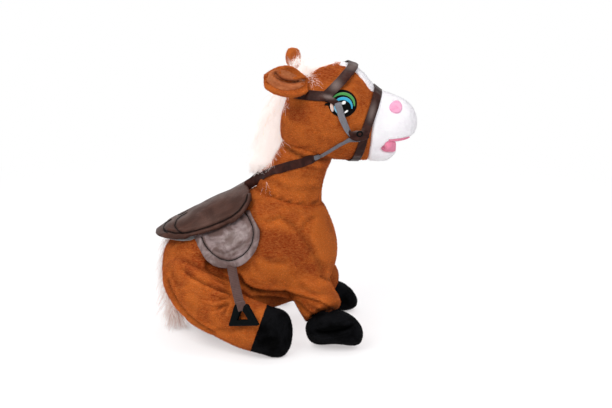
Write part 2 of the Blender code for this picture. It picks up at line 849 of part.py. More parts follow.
def make_fore_hoof(name, side):
    """A black foot with its sole on the floor and its toe forward, cut by the leg's seam."""
    shares = [(0.0, 0.20, 0.62, 0.45), (0.06, 0.06, 0.80, 0.74), (0.20, 0.0, 0.97, 0.94),
              (0.42, 0.0, 1.0, 1.0), (0.64, 0.0, 0.96, 0.98), (0.84, 0.02, 0.80, 0.86),
              (0.95, 0.10, 0.62, 0.66), (1.0, 0.22, 0.48, 0.36)]
    reach, run = foreleg_run(side)
    ankle = shoulder_point(side) + reach
    toe = Vector((cos(fore_toe_turn), side * sin(fore_toe_turn), 0))
    across = Vector((-toe.y, toe.x, 0))
    heel = ankle - toe * fore_ankle_radius * 0.80 + across * side * fore_ankle_radius * 0.42
    heel.z = 0
    rings = []
    for share, low, high, wide in shares:
        bottom = low * fore_hoof_height - seam_gap
        top = high * fore_hoof_height
        centre = heel + toe * share * fore_hoof_length
        centre.z = (top + bottom) / 2
        rings.append(ring_points(centre, across, Vector((0, 0, 1)),
                                 wide * fore_hoof_half_width, (top - bottom) / 2,
                                 (top - bottom) / 2, body_fullness_share, sides=22))
    hoof = object_from(name, skin_over(rings), velboa_black, shoulder_point(side))
    boolean(hoof, "DIFFERENCE", half_space(name + "_ankle", ankle + run * seam_gap, -run))
    return boolean(hoof, "DIFFERENCE", floor_cutter(name + "_floor"))


# Bridle straps, which follow the head

def strap_level(level):
    """Inner and outer distance from the head of a strap layer."""
    inner = seam_gap + level * (strap_thickness + seam_gap)
    return inner, inner + strap_thickness


def strap_on_head(name, level, slab, trims):
    inner, outer = strap_level(level)
    strap = object_from(name, swell(skin_over(head_rings()), outer), leather_dark, nod_centre())
    boolean(strap, "INTERSECT", slab)
    boolean(strap, "DIFFERENCE", swollen_head(name + "_bed", inner))
    for trim in trims:
        boolean(strap, "DIFFERENCE", trim)
    return strap


def brow_foot():
    return head_point(brow_foot_x_share, brow_foot_height_share)


def make_crown_strap():
    foot = brow_foot()
    slab = slab_cutter("crown", head_point(0, crown_height_share), Vector((0, 0, 1)),
                       strap_width)
    front = half_space("crown_front", foot, Vector((1, 0, 0)))
    return strap_on_head("crown_strap", 0, slab, [front])


def make_browband():
    foot = brow_foot()
    normal = Vector((-sin(brow_lean), 0, cos(brow_lean)))
    lean = Vector((cos(brow_lean), 0, sin(brow_lean)))
    slab = slab_cutter("brow", foot, normal, strap_width)
    below = half_space("brow_foot", foot - lean * strap_width / 3, -lean)
    return strap_on_head("browband", 1, slab, [below])


def noseband_frame():
    foot = head_point(noseband_foot_share, 0)
    lean = Vector((sin(noseband_lean), 0, cos(noseband_lean)))
    normal = Vector((cos(noseband_lean), 0, -sin(noseband_lean)))
    return foot, lean, normal


def make_noseband():
    foot, _, normal = noseband_frame()
    return strap_on_head("noseband", 0, slab_cutter("nose", foot, normal, strap_width), [])


def head_side_at(x, z):
    """Half width of the head form at a point of its side view."""
    share = (x - head_back_x) / head_length
    bottom = head_bottom_z + read_stations(head_station_shares, share, 1) * head_height
    top = head_bottom_z + read_stations(head_station_shares, share, 2) * head_height
    half_width = read_stations(head_station_shares, share, 3) * head_half_width
    middle = between(bottom, top, head_low_share)
    reach = top - middle if z > middle else middle - bottom
    rise = min(1.0, abs(z - middle) / reach) ** (1 / head_fullness_share)
    return half_width * sqrt(max(0.0, 1 - rise * rise)) ** head_fullness_share


def on_cheek(point, side, away):
    return Vector((point.x, side * (head_side_at(point.x, point.z) + away), point.z))


def cheek_joint():
    """Where the cheek strap and the rein meet the noseband."""
    foot, lean, _ = noseband_frame()
    rise = cheek_height_share * head_height / lean.z
    return foot + lean * rise


def ribbon(name, middles, wides, width, thickness, finish, origin):
    """A strap along a route, its width along the given directions, with square ends."""
    rings = []
    for index, (middle, wide) in enumerate(zip(middles, wides)):
        before = middles[max(0, index - 1)]
        after = middles[min(len(middles) - 1, index + 1)]
        run = (after - before).normalized()
        wide = (wide - run * wide.dot(run)).normalized()
        thick = run.cross(wide)
        corners = ((-1, -1), (1, -1), (1, 1), (-1, 1))
        rings.append([middle + wide * a * width / 2 + thick * b * thickness / 2
                      for a, b in corners])
    return object_from(name, skin_over(rings), finish, origin)


def make_cheek_strap(name, side):
    """The strap from the temple to the noseband, turned over once on its way."""
    away = sum(strap_level(1)) / 2 + 3 * seam_gap
    width = strap_width * 0.75
    start = brow_foot() - Vector((0, 0, strap_width * 0.74))
    end = cheek_joint()
    _, _, normal = noseband_frame()
    end = end - normal * (strap_width / 2 + sweep_gap) + Vector((0, 0, ring_radius))
    steps = 14
    middles = []
    wides = []
    for step in range(steps + 1):
        share = step / steps
        place = start.lerp(end, share)
        turn = pi * min(1.0, share / cheek_turn_share)
        middles.append(on_cheek(place, side, away + sin(turn) * width / 2))
        wides.append(Vector((cos(turn), side * sin(turn), 0)))
    return ribbon(name, middles, wides, width, strap_thickness, leather_dark, nod_centre())


def make_ring(name, side):
    """The small ring that joins the noseband, the cheek strap and the rein."""
    _, outer = strap_level(0)
    centre = on_cheek(cheek_joint(), side, outer + ring_wire_radius + 4 * seam_gap)
    bm = bmesh.new()
    around = 20
    wire_sides = 8
    rings = []
    for step in range(around):
        turn = 2 * pi * step / around
        out = Vector((cos(turn), 0, sin(turn)))
        middle = centre + out * ring_radius
        rings.append([bm.verts.new(
            middle + out * ring_wire_radius * cos(2 * pi * k / wire_sides)
            + Vector((0, ring_wire_radius * sin(2 * pi * k / wire_sides), 0)))
            for k in range(wire_sides)])
    for low, high in zip(rings, rings[1:] + rings[:1]):
        for k, vert in enumerate(low):
            after = (k + 1) % wire_sides
            bm.faces.new((vert, low[after], high[after], high[k]))
    return object_from(name, bm, plastic_black, nod_centre())


def make_rein(name, side):
    """A flat rein from the noseband ring, along the cheek and round the neck to the withers."""
    point, along, normal = collar_frame()
    rise = neck_top_z - collar_z
    middle_line = [point + normal * rise * share for share in (1.02, 0.82, 0.56, 0.24)]
    turns = [radians(62), radians(92), radians(120), radians(150)]
    clear = strap_thickness + 3 * seam_gap
    joint = cheek_joint()
    _, _, forward = noseband_frame()
    start = joint - forward * (strap_width * 0.55 + ring_radius)
    places = [on_cheek(start, side, clear), on_cheek(
        start.lerp(head_point(0.40, 0.0), 0.42), side, clear + rein_slack)]
    for centre, turn in zip(middle_line, turns):
        out = along * cos(turn) * (neck_base_half_length * 1.03 + clear) \
            + Vector((0, side * sin(turn) * (neck_half_width + clear), 0))
        places.append(centre + out)
    withers = point - along * (neck_base_half_length + strap_width * 0.62)
    places.append(withers + Vector((0, side * strap_width * 0.75, rein_slack / 2)))
    middles = smooth_route(places, 5)
    wides = []
    for index, middle in enumerate(middles):
        share = index / (len(middles) - 1)
        wides.append(normal.lerp(Vector((-0.55, 0, 0.8)), max(0.0, 1 - 2 * share)))
    return ribbon(name, middles, wides, strap_width * 0.85, strap_thickness, leather_dark,
                  point)


# Saddle, flaps and stirrups

def saddle_under(x, y):
    """Underside of the saddle: it lies on the back, and runs on straight to the cantle."""
    share = (saddle_front_x - x) / saddle_length
    straight = between(body_top_at(saddle_front_x, 0), cantle_z, share)
    firm_x = max(x, body_rear_x + cantle_overhang)
    drop = body_top_at(firm_x, 0) - body_top_at(firm_x, y)
    return max(straight - drop, body_top_at(firm_x, y) if x == firm_x else 0)


def saddle_sheet(lift, inset):
    """A sheet that lies on the back inside the saddle's outline."""
    columns = 12
    rows = []
    bm = bmesh.new()
    count = len(saddle_outline_shares)
    for row, wide in enumerate(saddle_outline_shares):
        x = saddle_front_x - inset - (saddle_length - 2 * inset) * row / (count - 1)
        half = wide * saddle_half_width - inset
        verts = []
        for column in range(columns + 1):
            y = half * (-1 + 2 * column / columns)
            verts.append(bm.verts.new((x, y, saddle_under(x, y) + lift)))
        rows.append(verts)
    for low, high in zip(rows, rows[1:]):
        for column in range(columns):
            bm.faces.new((low[column], low[column + 1], high[column + 1], high[column]))
    return bm


def make_saddle_pad():
    pad = object_from("saddle_pad", saddle_sheet(2.5 * seam_gap + pad_thickness / 2, pad_inset),
                      felt_grey)
    return add_thickness(pad, pad_thickness, 0)


def make_saddle_seat():
    lift = 4.5 * seam_gap + sweep_gap + pad_thickness + seat_thickness / 2
    seat = object_from("saddle_seat", saddle_sheet(lift, 0), leather_dark)
    return add_thickness(seat, seat_thickness, 0)


def flap_point(along, down, away):
    """A point of the flap by distance along its hinge line and down the flank."""
    x = flap_top_x + along * cos(flap_slope) + down * sin(flap_slope)
    top = body_top_at(flap_top_x, saddle_half_width) + flap_rise
    z = top + along * sin(flap_slope) - down * cos(flap_slope)
    return Vector((x, body_side_at(x, z) + away, z))


def flap_outline(sides):
    """A D whose straight side is the hinge line."""
    points = []
    for step in range(sides + 1):
        turn = pi * step / sides
        points.append((flap_half_length * signed_power(cos(turn), 0.9),
                       flap_drop * signed_power(sin(turn), 0.9)))
    return points


def make_flap(name, side):
    away = flap_surface_gap + flap_thickness / 2
    outline = flap_outline(16)
    rows = 5
    bm = bmesh.new()
    grid = []
    for row in range(rows + 1):
        share = row / rows
        line = []
        for along, down in outline:
            place = flap_point(along, down * share, away)
            line.append(bm.verts.new((place.x, side * place.y, place.z)))
        grid.append(line)
    for low, high in zip(grid, grid[1:]):
        for column in range(len(low) - 1):
            bm.faces.new((low[column], low[column + 1], high[column + 1], high[column]))
    bmesh.ops.remove_doubles(bm, verts=bm.verts, dist=seam_gap / 4)
    hinge = flap_point(0, 0, away)
    hinge.y *= side
    flap = object_from(name, bm, leather_taupe, hinge)
    return add_thickness(flap, flap_thickness, 0)


def leather_start(side):
    place = flap_point(flap_half_length * leather_place_share, flap_drop + seam_gap, 0)
    place.y = side * (place.y + flap_surface_gap + flap_thickness / 2)
    return place


def hanging_run(side):
    """The direction of a stirrup leather: down, a little forward and away from the body."""
    return Vector((sin(leather_slant), side * sin(leather_flare), -cos(leather_flare))).normalized()


def make_stirrup_leather(name, side):
    start = leather_start(side)
    run = hanging_run(side)
    middles = [start + run * leather_length * share for share in (0.0, 0.33, 0.66, 1.0)]
    wide = Vector((1, 0, 0))
    return ribbon(name, middles, [wide] * len(middles), strap_width, strap_thickness * 1.3,
                  leather_dark, start)


def make_stirrup(name, side):
    """A flat frame, wider at the foot, with a three-cornered opening."""
    top = leather_start(side) + hanging_run(side) * (leather_length + stirrup_hinge_gap)
    _, outward, across = leg_frame(side)
    run = outward * sin(stirrup_flare) - Vector((0, 0, cos(stirrup_flare)))
    face = run.cross(across)

    def outline(inset, grow):
        high = inset
        low = stirrup_height - inset
        half_high = max(stirrup_bar * 0.35, stirrup_top_width / 2 - inset * 1.25)
        half_low = stirrup_foot_width / 2 - inset * 1.75
        corners = ((-half_high, high), (half_high, high), (half_low, low), (-half_low, low))
        thickness = stirrup_thickness * grow
        return [[top + across * a + run * b + face * thickness * end / 2 for a, b in corners]
                for end in (-1, 1)]

    stirrup = object_from(name, skin_over(outline(0, 1)), plastic_black, top)
    hole = as_cutter(object_from(name + "_opening", skin_over(outline(stirrup_bar, 3))))
    return boolean(stirrup, "DIFFERENCE", hole)


def build():
    clear_scene()
    make_body()
    make_neck()
    make_head()
    make_blaze()
    make_muzzle()
    make_lower_jaw()
    make_tongue()
    make_mane()
    make_forelock()
    make_tail()
    make_crown_strap()
    make_browband()
    make_noseband()
    make_saddle_pad()
    make_saddle_seat()
    for word, side in (("right", -1), ("left", 1)):
        make_patch(word + "_eye", head_point(eye_x_share, eye_height_share),
                   eye_half_length, eye_half_height, side, eye_print)
        make_patch(word + "_nostril", head_point(nostril_x_share, nostril_height_share),
                   nostril_half_length, nostril_half_height, side, felt_pink)
        make_ear(word + "_ear", side)
        make_ear_lining(word + "_ear_lining", side)
        make_hind_leg(word + "_hind_leg", side)
        make_hind_hoof(word + "_hind_hoof", side)
        make_foreleg(word + "_foreleg", side)
        make_fore_hoof(word + "_fore_hoof", side)
        make_cheek_strap(word + "_cheek_strap", side)
        make_ring(word + "_bridle_ring", side)
        make_rein(word + "_rein", side)
        make_flap(word + "_saddle_flap", side)
        make_stirrup_leather(word + "_stirrup_leather", side)
        make_stirrup(word + "_stirrup", side)


build()
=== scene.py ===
import json
import math

import bmesh
import bpy
import numpy as np
from mathutils import Matrix, Vector
from mathutils.bvhtree import BVHTree

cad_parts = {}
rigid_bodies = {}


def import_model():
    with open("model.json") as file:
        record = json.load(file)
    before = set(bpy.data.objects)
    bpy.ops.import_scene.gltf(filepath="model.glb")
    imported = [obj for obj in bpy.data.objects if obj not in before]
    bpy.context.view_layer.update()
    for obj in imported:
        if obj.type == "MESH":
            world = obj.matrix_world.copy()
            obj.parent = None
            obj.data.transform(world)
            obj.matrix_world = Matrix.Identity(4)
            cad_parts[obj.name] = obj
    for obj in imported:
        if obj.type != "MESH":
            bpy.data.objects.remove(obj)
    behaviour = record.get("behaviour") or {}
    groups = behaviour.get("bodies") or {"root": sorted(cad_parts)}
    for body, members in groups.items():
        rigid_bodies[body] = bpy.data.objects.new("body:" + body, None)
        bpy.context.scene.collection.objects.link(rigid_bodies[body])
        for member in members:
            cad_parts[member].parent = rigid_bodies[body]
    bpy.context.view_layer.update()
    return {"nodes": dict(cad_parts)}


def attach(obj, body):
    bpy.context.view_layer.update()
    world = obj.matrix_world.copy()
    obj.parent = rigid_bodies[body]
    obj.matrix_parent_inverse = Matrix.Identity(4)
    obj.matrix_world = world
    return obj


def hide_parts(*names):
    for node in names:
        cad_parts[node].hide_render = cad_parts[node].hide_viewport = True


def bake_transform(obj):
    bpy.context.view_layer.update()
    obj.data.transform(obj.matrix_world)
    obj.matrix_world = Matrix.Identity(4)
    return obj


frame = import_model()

mm = 0.001
sides = {"right": -1.0, "left": 1.0}  # the right side faces the camera
print("frame loaded, %d nodes" % len(frame["nodes"]))

# camera: 1 photo pixel is 1 mm on the plane through the middle of the horse
shot = {
    "aim": (0.020, 0.0, 0.131),
    "distance": 1.5,
    "tilt": math.radians(15.0),
    "lens": 88.235,
    "sensor": 36.0,
    "pixelsWide": 612,
    "pixelsHigh": 408,
}
aim = Vector(shot["aim"])
tiltCos, tiltSin = math.cos(shot["tilt"]), math.sin(shot["tilt"])
sightLine = Vector((0.0, tiltCos, -tiltSin))
sightUp = Vector((0.0, tiltSin, tiltCos))
eyePoint = aim - sightLine * shot["distance"]
focalPixels = shot["lens"] / shot["sensor"] * shot["pixelsWide"]

cameraData = bpy.data.cameras.new("camera")
cameraData.lens = shot["lens"]
cameraData.sensor_width = shot["sensor"]
camera = bpy.data.objects.new("camera", cameraData)
camera.location = eyePoint
camera.rotation_euler = (math.pi / 2 - shot["tilt"], 0.0, 0.0)
bpy.context.scene.collection.objects.link(camera)
bpy.context.scene.camera = camera
bpy.context.scene.view_settings.view_transform = "Standard"


def photoRay(px, py, side=-1.0):
    # ray through a photo pixel; the left side is reached by a mirrored ray
    towards = (
        sightLine * focalPixels
        + Vector((1, 0, 0)) * (px - shot["pixelsWide"] / 2)
        + sightUp * (shot["pixelsHigh"] / 2 - py)
    ).normalized()
    start = eyePoint.copy()
    if side > 0:
        start.y = -start.y
        towards.y = -towards.y
    return start, towards


def photoPlace(points):
    # photo pixels of points; the left side is seen in a mirror
    d = points - np.array(shot["aim"])
    y = -np.abs(d[:, 1])
    deep = shot["distance"] + y * tiltCos - d[:, 2] * tiltSin
    up = y * tiltSin + d[:, 2] * tiltCos
    px = shot["pixelsWide"] / 2 + focalPixels * d[:, 0] / deep
    py = shot["pixelsHigh"] / 2 - focalPixels * up / deep
    return np.stack([px, py], axis=1)


# materials
def toLinear(hexText):
    # sRGB hex to linear red, green, blue, alpha
    parts = [int(hexText[i : i + 2], 16) / 255 for i in (1, 3, 5)]
    parts = [c / 12.92 if c <= 0.04045 else ((c + 0.055) / 1.055) ** 2.4 for c in parts]
    return (*parts, 1.0)


def addNode(tree, kind, terms=None, **settings):
    # one node: its settings, and for each input a value or the output that feeds it
    node = tree.nodes.new(kind)
    for name, value in settings.items():
        setattr(node, name, value)
    for socket, term in (terms or {}).items():
        if isinstance(term, bpy.types.NodeSocket):
            tree.links.new(term, node.inputs[socket])
        else:
            node.inputs[socket].default_value = term
    return node


def placeOf(tree):
    return addNode(tree, "ShaderNodeTexCoord").outputs["Object"]


def attributeOf(tree, name):
    return addNode(tree, "ShaderNodeAttribute", attribute_name=name).outputs["Fac"]


def noiseOf(tree, place, size, **inputs):
    return addNode(tree, "ShaderNodeTexNoise", {"Scale": 1 / size, **inputs, "Vector": place}).outputs["Fac"]


def waveOf(tree, place, thread, way, distortion, detail):
    # lines one thread apart; 0.32 is the wave texture's scale for one line per unit
    terms = {"Scale": 0.32 / thread, "Distortion": distortion, "Detail": detail, "Vector": place}
    return addNode(tree, "ShaderNodeTexWave", terms, bands_direction=way).outputs["Fac"]


def rangeOf(tree, value, low=0.0, high=1.0, toLow=0.0, toHigh=1.0, smooth=False):
    terms = {"From Min": low, "From Max": high, "To Min": toLow, "To Max": toHigh, "Value": value}
    style = "SMOOTHSTEP" if smooth else "LINEAR"
    return addNode(tree, "ShaderNodeMapRange", terms, interpolation_type=style).outputs["Result"]


def mathOf(tree, operation, a, b, **settings):
    return addNode(tree, "ShaderNodeMath", {0: a, 1: b}, operation=operation, **settings).outputs[0]


def vectorOf(tree, operation, a, b):
    second = "Scale" if operation == "SCALE" else 1
    return addNode(tree, "ShaderNodeVectorMath", {0: a, second: b}, operation=operation).outputs[0]


def mixOf(tree, share, a, b):
    return addNode(tree, "ShaderNodeMix", {0: share, 6: a, 7: b}, data_type="RGBA").outputs[2]


def bumpOf(tree, height, strength, distance, **normal):
    terms = {"Strength": strength, "Distance": distance, "Height": height, **normal}
    return addNode(tree, "ShaderNodeBump", terms).outputs["Normal"]


def turnedOf(tree, place, turn, stretch=(1.0, 1.0, 1.0)):
    terms = {"Rotation": turn, "Scale": stretch, "Vector": place}
    return addNode(tree, "ShaderNodeMapping", terms).outputs["Vector"]


def newFinish(name, roughness, **shader):
    # a material with its Principled shader set, and a function that feeds a socket of it
    finish = bpy.data.materials.new(name)
    finish.use_nodes = True
    tree = finish.node_tree
    skin = tree.nodes["Principled BSDF"]
    skin.inputs["Roughness"].default_value = roughness
    for socket, value in shader.items():
        skin.inputs[socket.replace("_", " ")].default_value = value

    def feed(socket, source):
        tree.links.new(source, skin.inputs[socket])

    return finish, tree, feed


def withPaintedFoldShade(tree, bright):
    # brightness with the painted shade of the folds taken off, and a painted highlight beside them where
    # foldShade is below 0
    return mathOf(tree, "MULTIPLY", bright, mathOf(tree, "SUBTRACT", 1.0, attributeOf(tree, "foldShade")))


def pileFinish(name, look):
    # knitted pile: colour drifts with the way the nap lies, with painted highlights and shade from the zones;
    # roots are darker than tips, painted shade deep in the pile
    finish, tree, feed = newFinish(
        name, look["roughness"], Sheen_Weight=look["sheen"], Sheen_Roughness=0.4,
        Sheen_Tint=toLinear(look["sheenColour"]), Specular_IOR_Level=look.get("specular", 0.08),
        Emission_Color=toLinear(look.get("paintedGlowColour", "#FFFFFF")),
        Emission_Strength=look.get("paintedGlow", 0.0),  # painted glow, standing in for light that white fibres pass on
    )
    place = placeOf(tree)
    drift = noiseOf(tree, place, look["patch"], Detail=6.0, Roughness=0.62, Distortion=0.5)
    turned = turnedOf(tree, place, (0.2, 0.5, 0.4), (0.5, 1.0, 1.6))
    streak = noiseOf(tree, turned, look["streak"], Detail=4.0, Roughness=0.7)
    patch = rangeOf(tree, drift, 0.30, 0.70, smooth=True)
    # the zones: nap brushed lighter or darker, with painted highlights and painted shade
    patch = mathOf(tree, "ADD", patch, attributeOf(tree, "napLight"), use_clamp=True)
    fleck = mathOf(tree, "MULTIPLY", rangeOf(tree, streak, 0.38, 0.66), look["fleck"])
    nap = mixOf(tree, patch, toLinear(look["dark"]), toLinear(look["light"]))
    combed = mixOf(tree, fleck, nap, toLinear(look["tip"]))
    # painted shade: darker towards the roots, deep in the pile
    toTip = rangeOf(tree, attributeOf(tree, "along"), -0.25, 0.75, 1 - look["rootDepth"])
    strand = attributeOf(tree, "strandTint")
    varied = rangeOf(tree, strand, 0.0, 1.0, 1 - look["vary"], 1 + look["vary"])
    # painted shade of the folds darkens the pile's colour
    bright = withPaintedFoldShade(tree, mathOf(tree, "MULTIPLY", toTip, varied))
    if "odd" in look:
        isOdd = rangeOf(tree, strand, 1 - look["oddShare"], 1 - look["oddShare"] * 0.6)
        combed = mixOf(tree, isOdd, combed, toLinear(look["odd"]))
    feed("Base Color", vectorOf(tree, "SCALE", combed, bright))
    fuzz = noiseOf(tree, place, look["fuzz"], Detail=2.0)
    feed("Normal", bumpOf(tree, fuzz, look["bump"], 0.6 * mm))
    return finish


def leatherFinish(name, look):
    # coated split leather: pebbled grain, broad creases that take the light, painted highlights where it bends
    finish, tree, feed = newFinish(
        name, look["roughness"], Coat_Weight=look["coat"], Coat_Roughness=0.32, IOR=1.5,
        Specular_IOR_Level=look["specular"],
    )
    place = placeOf(tree)
    pebble = addNode(
        tree, "ShaderNodeTexVoronoi", {"Scale": 1 / look["grain"], "Randomness": 1.0, "Vector": place},
        feature="SMOOTH_F1",
    ).outputs["Distance"]
    crease = noiseOf(tree, place, look["crease"], Detail=5.0, Roughness=0.6, Distortion=1.1)
    cloud = noiseOf(tree, place, look["cloud"], Detail=3.0, Roughness=0.6, Distortion=0.8)
    rub = rangeOf(tree, cloud, 0.42, 0.66, smooth=True)
    base = mixOf(tree, rub, toLinear(look["dark"]), toLinear(look["light"]))
    # painted highlights: lighter where the zones lie
    base = mixOf(tree, attributeOf(tree, "rubbed"), base, toLinear(look["highlightColour"]))
    low = rangeOf(tree, pebble, 0.0, 0.55, 1.06, 0.86)
    # painted shade of the folds darkens the leather's colour
    feed("Base Color", vectorOf(tree, "SCALE", base, withPaintedFoldShade(tree, low)))
    feed("Roughness", rangeOf(tree, cloud, 0.3, 0.7, look["roughness"] + 0.1, look["roughness"] - 0.08))
    broad = bumpOf(tree, crease, look["creaseDepth"], 1.2 * mm)
    feed("Normal", bumpOf(tree, pebble, look["grainDepth"], 0.3 * mm, Normal=broad))
    return finish


def wovenFinish(name, look):
    # crossed threads, drawn as coarse as they need to be to show
    finish, tree, feed = newFinish(name, look["roughness"], Sheen_Weight=0.15, Specular_IOR_Level=0.25)
    place = placeOf(tree)
    turned = turnedOf(tree, place, look["turn"])
    warp, weft = [waveOf(tree, turned, look["thread"], way, 1.2, 2.0) for way in ("X", "Z")]
    threads = mathOf(tree, "MAXIMUM", warp, weft)
    dirt = noiseOf(tree, place, look["cloud"], Detail=4.0, Roughness=0.65)
    base = mixOf(tree, threads, toLinear(look["dark"]), toLinear(look["light"]))
    feed("Base Color", vectorOf(tree, "SCALE", base, rangeOf(tree, dirt, 0.3, 0.7, 0.82, 1.15)))
    feed("Normal", bumpOf(tree, threads, look["bump"], 0.4 * mm))
    return finish


def threadFinish(name, colour, shine=0.3, turn=0.0, shade=0.72):
    # polyester embroidery thread: rows of satin stitch with a soft shine across them
    finish, tree, feed = newFinish(name, 0.42, Sheen_Weight=shine, Specular_IOR_Level=0.06 + shine * 0.5)
    turned = turnedOf(tree, placeOf(tree), (0.0, turn, 0.0))
    rows = waveOf(tree, turned, 0.45 * mm, "X", 0.8, 1.0)
    lit = rangeOf(tree, rows, toLow=shade, toHigh=1.08)
    feed("Base Color", vectorOf(tree, "SCALE", toLinear(colour)[:3], lit))
    feed("Normal", bumpOf(tree, rows, 0.5, 0.25 * mm))
    return finish


# rust-brown polyester velboa, brushed both ways by handling: dark and golden nap side by side, with painted
# highlights and painted shade among them
velboaBrown = pileFinish("rust_brown_velboa", {
    "dark": "#A83A04", "light": "#EC7829", "tip": "#FF9A52", "sheenColour": "#F0A868",
    "roughness": 0.85, "sheen": 0.06, "patch": 21 * mm, "streak": 1.5 * mm, "fleck": 0.55,
    "rootDepth": 0.30, "vary": 0.34, "fuzz": 0.7 * mm, "bump": 0.45,
})
# black velboa feet: soft grey bloom where the nap turns, partly painted highlight, with painted shade in their
# creases
velboaBlack = pileFinish("black_velboa", {
    "dark": "#010101", "light": "#1B1B1E", "tip": "#101012", "sheenColour": "#A8A8B0", "specular": 0.02,
    "roughness": 0.75, "sheen": 0.01, "patch": 14 * mm, "streak": 2.6 * mm, "fleck": 0.4,
    "rootDepth": 0.35, "vary": 0.25, "fuzz": 0.6 * mm, "bump": 0.3,
})
# white short plush of the face: a faint lilac tone drifting in patches, and a painted glow
plushWhite = pileFinish("white_short_plush", {
    "dark": "#F6F1F5", "light": "#FFFDFE", "tip": "#FFFFFF", "sheenColour": "#FFFFFF",
    "paintedGlow": 0.10, "paintedGlowColour": "#FFF8FC",
    "roughness": 0.9, "sheen": 0.12, "patch": 18 * mm, "streak": 2.4 * mm, "fleck": 0.5,
    "rootDepth": 0.07, "vary": 0.03, "fuzz": 0.6 * mm, "bump": 0.25,
})
hairLook = {
    "tip": "#FFFFFF", "sheenColour": "#FFFFFF", "roughness": 0.55, "sheen": 0.2, "patch": 12 * mm,
    "streak": 2.0 * mm, "rootDepth": 0.12, "vary": 0.05, "fuzz": 0.8 * mm, "bump": 0.2,
}
# white long acrylic hair, creamy at its roots with a few rosy brown strands, and a painted glow
hairWhite = pileFinish("white_long_acrylic_hair", {
    **hairLook, "dark": "#FBF0EA", "light": "#FFFDFB", "paintedGlow": 0.26, "paintedGlowColour": "#FFF4F0",
    "fleck": 0.6, "odd": "#DDB9AC", "oddShare": 0.16,
})
# the tail's hair: the same white with many rosy brown strands, and a painted glow
hairTail = pileFinish("white_and_rosy_acrylic_hair", {
    **hairLook, "dark": "#F6E6E0", "light": "#FFFBF8", "paintedGlow": 0.12, "paintedGlowColour": "#FFEDE6",
    "fleck": 0.5, "odd": "#BE8672", "oddShare": 0.4,
})
feltLook = {
    "roughness": 0.9, "sheen": 0.2, "patch": 6 * mm, "streak": 1.2 * mm, "fleck": 0.35,
    "rootDepth": 0.08, "vary": 0.05, "fuzz": 0.5 * mm, "bump": 0.4,
}
# pale pink brushed felt of the nostrils
feltPink = pileFinish("pink_brushed_felt", {
    **feltLook, "dark": "#F49CC2", "light": "#FCB8D6", "tip": "#FFD0E4", "sheenColour": "#FFDCEA",
})
# rosier brushed felt of the tongue and the lip edge
feltRose = pileFinish("rose_brushed_felt", {
    **feltLook, "dark": "#E87698", "light": "#F090AC", "tip": "#F8B0C4", "sheenColour": "#FFD0DC",
})
# salmon brown lining of the ears, a smoother tricot than the outside
liningSalmon = pileFinish("salmon_tricot_lining", {
    "dark": "#A04C20", "light": "#C47445", "tip": "#D69068", "sheenColour": "#F4BC98",
    "roughness": 0.85, "sheen": 0.05, "patch": 12 * mm, "streak": 1.6 * mm, "fleck": 0.4,
    "rootDepth": 0.12, "vary": 0.06, "fuzz": 0.5 * mm, "bump": 0.4,
})
# dark brown polyurethane leather of the seat: low sheen, fine pebble, broad painted highlights
leatherSeat = leatherFinish("dark_brown_seat_leather", {
    "dark": "#40271F", "light": "#50342B", "highlightColour": "#8A746C", "specular": 0.14, "roughness": 0.44, "coat": 0.0,
    "grain": 0.9 * mm, "crease": 9 * mm, "cloud": 22 * mm, "creaseDepth": 0.25, "grainDepth": 0.35,
})
# the same leather cut into straps: darker, with painted highlights where it bends
leatherStrap = leatherFinish("dark_brown_strap_leather", {
    "dark": "#2C120D", "light": "#402019", "highlightColour": "#A08E88", "specular": 0.12, "roughness": 0.38, "coat": 0.0,
    "grain": 0.7 * mm, "crease": 5 * mm, "cloud": 9 * mm, "creaseDepth": 0.35, "grainDepth": 0.3,
})
# taupe metallised leather of the flaps: cloudy mauve shine over small wrinkles
leatherTaupe = leatherFinish("taupe_pearl_leather", {
    "dark": "#68524E", "light": "#948180", "highlightColour": "#B4A2A4", "specular": 0.3, "roughness": 0.38, "coat": 0.10,
    "grain": 0.8 * mm, "crease": 7 * mm, "cloud": 17 * mm, "creaseDepth": 0.35, "grainDepth": 0.35,
})
backingLook = {"roughness": 0.85, "turn": (0.0, 0.5, 0.0), "thread": 1.1 * mm, "cloud": 4 * mm, "bump": 0.6}
# grey woven backing on the inner face of the straps
backingGrey = wovenFinish("grey_woven_backing", {**backingLook, "dark": "#3E3C41", "light": "#8A888E"})
# the same backing on the reins, darker: painted shade
backingShaded = wovenFinish("handled_grey_backing", {**backingLook, "dark": "#2C2A2D", "light": "#75737A"})
# taupe webbing of the stirrup leathers
webbingTaupe = wovenFinish("taupe_woven_webbing", {
    "dark": "#3C2622", "light": "#5E443F", "roughness": 0.7, "turn": (0.0, 0.15, 0.0),
    "thread": 1.3 * mm, "cloud": 6 * mm, "bump": 0.5,
})
# grey needle felt under the saddle, pale where its cut edge shows
feltGrey = wovenFinish("grey_needle_felt", {
    "dark": "#66625F", "light": "#A29E9D", "roughness": 0.95, "turn": (0.3, 0.7, 0.2),
    "thread": 0.9 * mm, "cloud": 3 * mm, "bump": 0.4,
})
# black sewing thread, and the coloured embroidery threads of the eye
threadBlack = threadFinish("black_sewing_thread", "#070607", 0.0, 0.0, 0.6)
threadGreen = threadFinish("green_embroidery_thread", "#4C9F4E", 0.3, 0.5)
threadCyan = threadFinish("cyan_embroidery_thread", "#35AFD6", 0.3, 0.9)
threadIce = threadFinish("ice_blue_embroidery_thread", "#8CCBEB", 0.3, 0.2)
threadBlush = threadFinish("blush_embroidery_thread", "#F1CFC2", 0.3, 0.3)
threadWhite = threadFinish("white_embroidery_thread", "#F8F7F6", 0.3, 0.2, 0.9)


